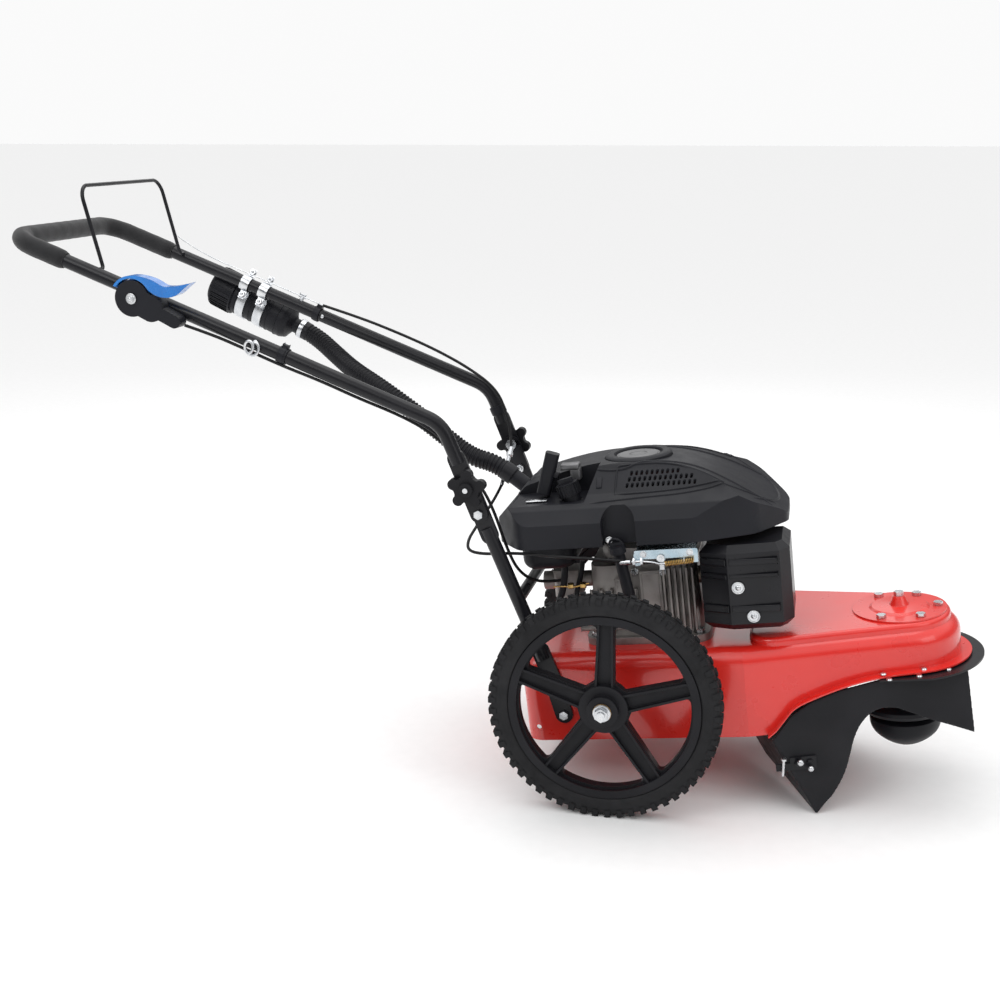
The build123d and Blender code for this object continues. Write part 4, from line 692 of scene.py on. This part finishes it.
stop = deck_at(52, -156, 204)
stop_way = DECK_X
make_piece("cable_ferrule", joined("cable_ferrule", [
    lathe("ferrule_body", stop - stop_way * 0.016, stop_way, [(2.6, -2), (3.6, 0), (3.6, 14), (2.0, 15), (2.0, 34)], 24),
    hex_head("ferrule_nut_a", stop + stop_way * 0.002, stop_way, 5.2, 3.6),
    hex_head("ferrule_nut_b", stop + stop_way * 0.0135, stop_way, 5.2, 3.6)]), "chassis", "zinc_steel", smooth=False)
link = [stop + stop_way * 0.016, deck_at(84, -158, 203), deck_at(92, -159, 200), deck_at(98, -158, 199),
        deck_at(103, -158, 200)]
make_piece("brake_link", tube("brake_link", evenly(smooth_line(link), 0.0015), 1.4, 12), "chassis", "zinc_steel",
           smooth=False)
for i, (x, z) in enumerate(((70, 214), (140, 214))):
    make_piece(f"bracket_screw_{i}", hex_head("bracket_screw", deck_at(x, -152.1, z), -DECK_Y, 3.6, 2.6, 5.4),
               "chassis", "zinc_steel", smooth=False)

# ---- cowl details ----------------------------------------------------------------------------------
cowl_mesh = NODES["engine_cowl"].data
cowl_tree = BVHTree.FromPolygons([v.co for v in cowl_mesh.vertices], [p.vertices for p in cowl_mesh.polygons])


def on_cowl(x, y):
    """Where a line down through deck (x, y) meets the cowl, with the surface's outward direction."""
    place, normal, _, _ = cowl_tree.ray_cast(deck_at(x, y, 400), -DECK_UP)
    if place is None:
        return deck_at(x, y, 240), DECK_UP
    return place, normal if normal.dot(DECK_UP) > 0 else -normal


def cowl_bead(name, points, width, height, material="black_plastic"):
    """A raised moulded line over the cowl through (x, y) deck points."""
    flat_line = smooth_line([Vector((x, y, 0)) / 1000 for x, y in points])
    line = [on_cowl(p.x * 1000, p.y * 1000) for p in evenly(flat_line, 0.003)]
    verts, faces = [], []
    for i, (place, normal) in enumerate(line):
        ahead = (line[min(i + 1, len(line) - 1)][0] - line[max(i - 1, 0)][0]).normalized()
        across = ahead.cross(normal).normalized()
        fade = min(1.0, min(i, len(line) - 1 - i) / 5)
        for run, rise in ((-1.0, -0.5), (-0.55, 0.75), (0, 1.0), (0.55, 0.75), (1.0, -0.5)):
            verts.append(place + (across * run * width / 2 + normal * (rise * height * (0.2 + 0.8 * fade))) / 1000)
    for i in range(len(line) - 1):
        for k in range(4):
            a = i * 5 + k
            faces.append((a, a + 1, a + 6, a + 5))
    return make_piece(name, clean(mesh_from(name, verts, faces), 60), "chassis", material, smooth=False)


for way, side_name in ((-1, "right"), (1, "left")):
    cowl_bead(f"{side_name}_vent_frame", [
        (28, way * 104), (28, way * 62), (34, way * 60), (110, way * 58), (190, way * 84), (196, way * 90),
        (120, way * 101), (34, way * 104), (28, way * 102)], 4.0, 1.8)
    cowl_bead(f"{side_name}_crown_line", [
        (-10, way * 62), (30, way * 70), (70, way * 54), (150, way * 48), (215, way * 66), (262, way * 70)], 5.0, 2.0)
    cowl_bead(f"{side_name}_brow_line", [
        (-10, way * 118), (60, way * 112), (150, way * 108), (220, way * 86), (266, way * 48)], 4.0, 1.6)
cowl_bead("nose_line", [(236, -88), (262, -50), (272, 0), (262, 50), (236, 88)], 4.5, 2.0)
cowl_bead("tail_line", [(-138, -100), (-140, 0), (-138, 100)], 4.0, 1.6)
for i, (x, way) in enumerate(((2, -1), (2, 1))):
    place, normal = on_cowl(x, way * 84)
    side_way = normal.cross(DECK_X).normalized()
    make_piece(f"louver_{i}", box_mesh("louver", place + normal * 0.0004, [DECK_X, side_way, normal], (9, 20, 2.6), 1.2),
               "chassis", "black_plastic", smooth=False)

crown = deck_at(55, 0, 336)
make_piece("crown_badge", lathe("crown_badge", crown, DECK_UP, [
    (0, 1.1), (12, 1.1), (12.6, 0.5), (14, 0.5), (14.6, 1.3), (31, 1.3), (31.8, 0.6), (34, 0.6), (35, -1.2)], 72),
    "chassis", "grey_plastic", smooth=False)
make_piece("crown_ring", lathe("crown_ring", crown, DECK_UP, [
    (37.5, 1.6), (39.5, 3.6), (45, 4.2), (50, 3.0), (53.2, 0.4), (53.6, -3)], 72), "chassis", "black_plastic",
    smooth=False)

grip_low, grip_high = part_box("starter_grip")
tag = deck_at(-98, -92, 292.2)
make_piece("grip_tag", box_mesh("grip_tag", tag, [DECK_X, DECK_Y, DECK_UP], (34, 12, 2.2), 0.8), "chassis",
           "zinc_steel", smooth=False)
make_piece("rope_pulley_tab", joined("rope_pulley_tab", [
    box_mesh("tab_body", deck_at(-48, -46, 334), [DECK_X, DECK_Y, DECK_UP], (30, 22, 9), 2.2),
    box_mesh("tab_post", deck_at(-40, -46, 322), [DECK_X, DECK_Y, DECK_UP], (16, 18, 20), 2.2)]), "chassis",
    "grey_plastic", smooth=False)

cap_axis = (DECK_UP - DECK_X * 0.25).normalized()
cap_base = deck_at(-44, -88, 297)
cap_ribs = []
across, upwards = cross_frame(cap_axis)
for k in range(20):
    turn = 2 * math.pi * k / 20
    outwards = across * math.cos(turn) + upwards * math.sin(turn)
    cap_ribs.append(box_mesh("cap_rib", cap_base + cap_axis * 0.010 + outwards * 0.0176,
                             [cap_axis, outwards.cross(cap_axis), outwards], (17, 2.6, 1.6), 0.6))
make_piece("fuel_cap_ribs", joined("fuel_cap_ribs", cap_ribs), "fuel_cap", "black_plastic", smooth=False)

oil_axis = (DECK_X * -8 + DECK_Y * -8 + DECK_UP * 68).normalized()
oil_top = deck_at(30, -136, 214) + oil_axis * 0.011
loop_across = Vector((1, 0, 0))
dip_loop = [oil_top + loop_across * 0.011 * math.cos(math.pi * n / 16) + oil_axis * 0.012 * math.sin(math.pi * n / 16)
            for n in range(17)]
make_piece("dipstick_loop", tube("dipstick_loop", dip_loop, 1.8, 12), "dipstick", "black_plastic", smooth=False)
make_piece("recess_screw", hex_head("recess_screw", deck_at(16, -126.5, 232), -DECK_Y, 3.8, 2.6, 5.6), "chassis",
           "zinc_steel", smooth=False)

# ---- engine block, muffler guard and the pipes under the tank -----------------------------------------
block_panel = []
for x, z, width, height in ((68, 135, 34, 66), (22, 128, 22, 58)):
    block_panel.append(box_mesh("panel", deck_at(x, -89.4, z), [DECK_X, DECK_UP, DECK_Y], (width, height, 1.6), 0.7))
    block_panel.append(box_mesh("panel_in", deck_at(x, -90.4, z), [DECK_X, DECK_UP, DECK_Y],
                                (width - 8, height - 8, 1.4), 0.6))
make_piece("block_panels", joined("block_panels", block_panel), "chassis", "cast_aluminium", smooth=False)
ribs = [box_mesh("cast_rib", deck_at(x, -86, 104), [DECK_X, DECK_UP, DECK_Y], (4, 70, 8), 1.2)
        for x in (-28, -12, 4, 44)]
ribs.append(box_mesh("cast_rail", deck_at(10, -87, 76), [DECK_X, DECK_UP, DECK_Y], (120, 6, 9), 1.4))
make_piece("cast_ribs", joined("cast_ribs", ribs), "chassis", "cast_aluminium", smooth=False)
block_bolts = [hex_head("block_bolt", deck_at(x, -90.5, z), -DECK_Y, 4.4, 4.0, 6.2)
               for x, z in ((-18, 90), (30, 92), (84, 92), (44, 168), (88, 166))]
make_piece("block_bolts", joined("block_bolts", block_bolts), "chassis", "zinc_steel", smooth=False)

guard_low, guard_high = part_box("muffler_guard")
bands = [box_mesh("band", deck_at(231, -137.4, z), [DECK_X, DECK_UP, DECK_Y], (72, height, 3.0), 1.2)
         for z, height in ((190, 9), (168, 5), (116, 10))]
bands += [box_mesh("band_rear", deck_at(171, -130.2, z), [(DECK_X * 42 - DECK_Y * 18).normalized(), DECK_UP,
                                                          (DECK_X * 18 + DECK_Y * 42).normalized()],
                   (40, height, 3.0), 1.2) for z, height in ((190, 9), (168, 5), (116, 10))]
make_piece("guard_bands", joined("guard_bands", bands), "chassis", "black_paint", smooth=False)
guard_screws = [joined("guard_screw", [
    lathe("screw_cup", deck_at(x, -138.6, z), -DECK_Y, [(0, 0.2), (7.5, 0.2), (8.2, 1.4), (9.4, 1.4), (10, -0.4)], 32),
    dome("screw_head", deck_at(x, -138.8, z), -DECK_Y, 4.2, 2.4)]) for x, z in ((206, 150), (226, 104))]
make_piece("guard_screws", joined("guard_screws", guard_screws), "chassis", "zinc_steel", smooth=False)

pipes = [
    (tube("pipe", evenly(smooth_line([deck_at(-66, -84, 184), deck_at(-70, -86, 150), deck_at(-84, -84, 120),
                                      deck_at(-92, -80, 86)]), 0.004), 5.5, 14), "hose_rubber"),
    (tube("pipe", evenly(smooth_line([deck_at(-40, -70, 184), deck_at(-44, -74, 160), deck_at(-60, -78, 120),
                                      deck_at(-40, -82, 84)]), 0.004), 4.2, 14), "hose_rubber"),
    (tube("rod", evenly(smooth_line([deck_at(-88, -86, 148), deck_at(-70, -92, 150), deck_at(-52, -90, 146),
                                     deck_at(-30, -88, 152)]), 0.003), 1.4, 10), "spring_brass"),
]
for i, (mesh, slot_name) in enumerate(pipes):
    make_piece(f"engine_pipe_{i}", mesh, "chassis", slot_name, smooth=False)
make_piece("governor_nuts", joined("governor_nuts", [
    hex_head("governor_nut", deck_at(x, -88, z), DECK_X, 4.6, 9) for x, z in ((-64, 149), (-44, 149))]), "chassis",
    "spring_brass", smooth=False)

# ---- line cutter and small deck hardware ------------------------------------------------------------
cutter_low, cutter_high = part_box("line_cutter")
cutter = (cutter_low + cutter_high) / 2
pin_foot = Vector((cutter_low.x + 0.012, cutter_low.y - 0.002, cutter.z - 0.018))
make_piece("cutter_hardware", joined("cutter_hardware", [
    lathe("cutter_pin", pin_foot, Vector((0, 0, 1)), [(0, -1), (2.2, 0), (2.2, 26), (4.4, 26), (4.4, 29), (0, 30)], 20),
    dome("cutter_bolt_a", Vector((cutter.x + 0.006, cutter_low.y - 0.001, cutter.z + 0.006)), -DECK_Y, 5.2, 4.0),
    dome("cutter_bolt_b", Vector((cutter.x + 0.022, cutter_low.y - 0.001, cutter.z - 0.002)), -DECK_Y, 4.6, 3.4)]),
    "chassis", "zinc_steel", smooth=False)

# ---- camera, lights and floor ----------------------------------------------------------------------
CAMERA_AZIMUTH = math.radians(12.955)
CAMERA_ELEVATION = math.radians(15.242)
view = Vector((-math.sin(CAMERA_AZIMUTH) * math.cos(CAMERA_ELEVATION),
               math.cos(CAMERA_AZIMUTH) * math.cos(CAMERA_ELEVATION), -math.sin(CAMERA_ELEVATION)))
camera_data = bpy.data.cameras.new("camera")
camera_data.lens = 48.96
camera_data.sensor_width = 36
camera_data.clip_end = 300
camera = bpy.data.objects.new("camera", camera_data)
camera.location = at(271.9, -2108.9, 1017.6)
camera.rotation_euler = view.to_track_quat("-Z", "Y").to_euler()
bpy.context.scene.collection.objects.link(camera)
bpy.context.scene.camera = camera


def soft_light(name, place, aim, size, power, color=(1, 1, 1)):
    data = bpy.data.lights.new(name, "AREA")
    data.shape = "RECTANGLE"
    data.size, data.size_y = size
    data.energy = power
    data.color = color
    lamp = bpy.data.objects.new(name, data)
    lamp.location = place
    lamp.rotation_euler = (Vector(aim) - Vector(place)).to_track_quat("-Z", "Y").to_euler()
    bpy.context.scene.collection.objects.link(lamp)


MIDDLE = (0.05, 0, 0.35)
soft_light("key_light", (-1.2, -2.2, 2.6), MIDDLE, (1.6, 1.2), 17)
soft_light("fill_light", (2.6, -1.6, 1.7), MIDDLE, (1.4, 1.6), 11)
soft_light("top_light", (0.1, 0.4, 3.0), MIDDLE, (2.4, 1.6), 18)
soft_light("back_light", (-0.6, 2.8, 1.8), MIDDLE, (2.6, 1.2), 8)

world = bpy.data.worlds.new("studio")
world.use_nodes = True
sky = world.node_tree
overhead = sky.nodes["Background"]
overhead.inputs["Strength"].default_value = 1.15
direction = sky.nodes.new("ShaderNodeTexCoord")
height = sky.nodes.new("ShaderNodeSeparateXYZ")
sky.links.new(direction.outputs["Generated"], height.inputs[0])
dome_ramp = sky.nodes.new("ShaderNodeValToRGB")
dome_ramp.color_ramp.elements[0].position = 0.3
dome_ramp.color_ramp.elements[0].color = (0.2, 0.2, 0.2, 1)
dome_ramp.color_ramp.elements[1].position = 0.6
sky.links.new(height.outputs["Z"], dome_ramp.inputs["Fac"])
sky.links.new(dome_ramp.outputs["Color"], overhead.inputs["Color"])
backdrop = sky.nodes.new("ShaderNodeBackground")
backdrop.inputs["Color"].default_value = (0.96, 0.96, 0.96, 1)
ray_kind = sky.nodes.new("ShaderNodeLightPath")
seen = sky.nodes.new("ShaderNodeMixShader")
sky.links.new(ray_kind.outputs["Is Camera Ray"], seen.inputs["Fac"])
sky.links.new(overhead.outputs["Background"], seen.inputs[1])
sky.links.new(backdrop.outputs["Background"], seen.inputs[2])
sky.links.new(seen.outputs["Shader"], sky.nodes["World Output"].inputs["Surface"])
bpy.context.scene.world = world

floor_work = bmesh.new()
bmesh.ops.create_grid(floor_work, x_segments=4, y_segments=4, size=90)
floor_mesh = bpy.data.meshes.new("floor")
floor_work.to_mesh(floor_mesh)
floor_work.free()
floor = bpy.data.objects.new("floor", floor_mesh)
bpy.context.scene.collection.objects.link(floor)
floor_material, floor_shader, floor_coordinates = new_material("floor_paper", 0.9, specular=0.1)
floor_material.node_tree.links.new(
    ramp(floor_material, noise(floor_material, floor_coordinates, 40.0), [(0.3, 0.93), (0.7, 0.95)]),
    floor_shader.inputs["Base Color"])
floor_mesh.materials.append(floor_material)
bpy.context.scene.view_settings.view_transform = "Standard"
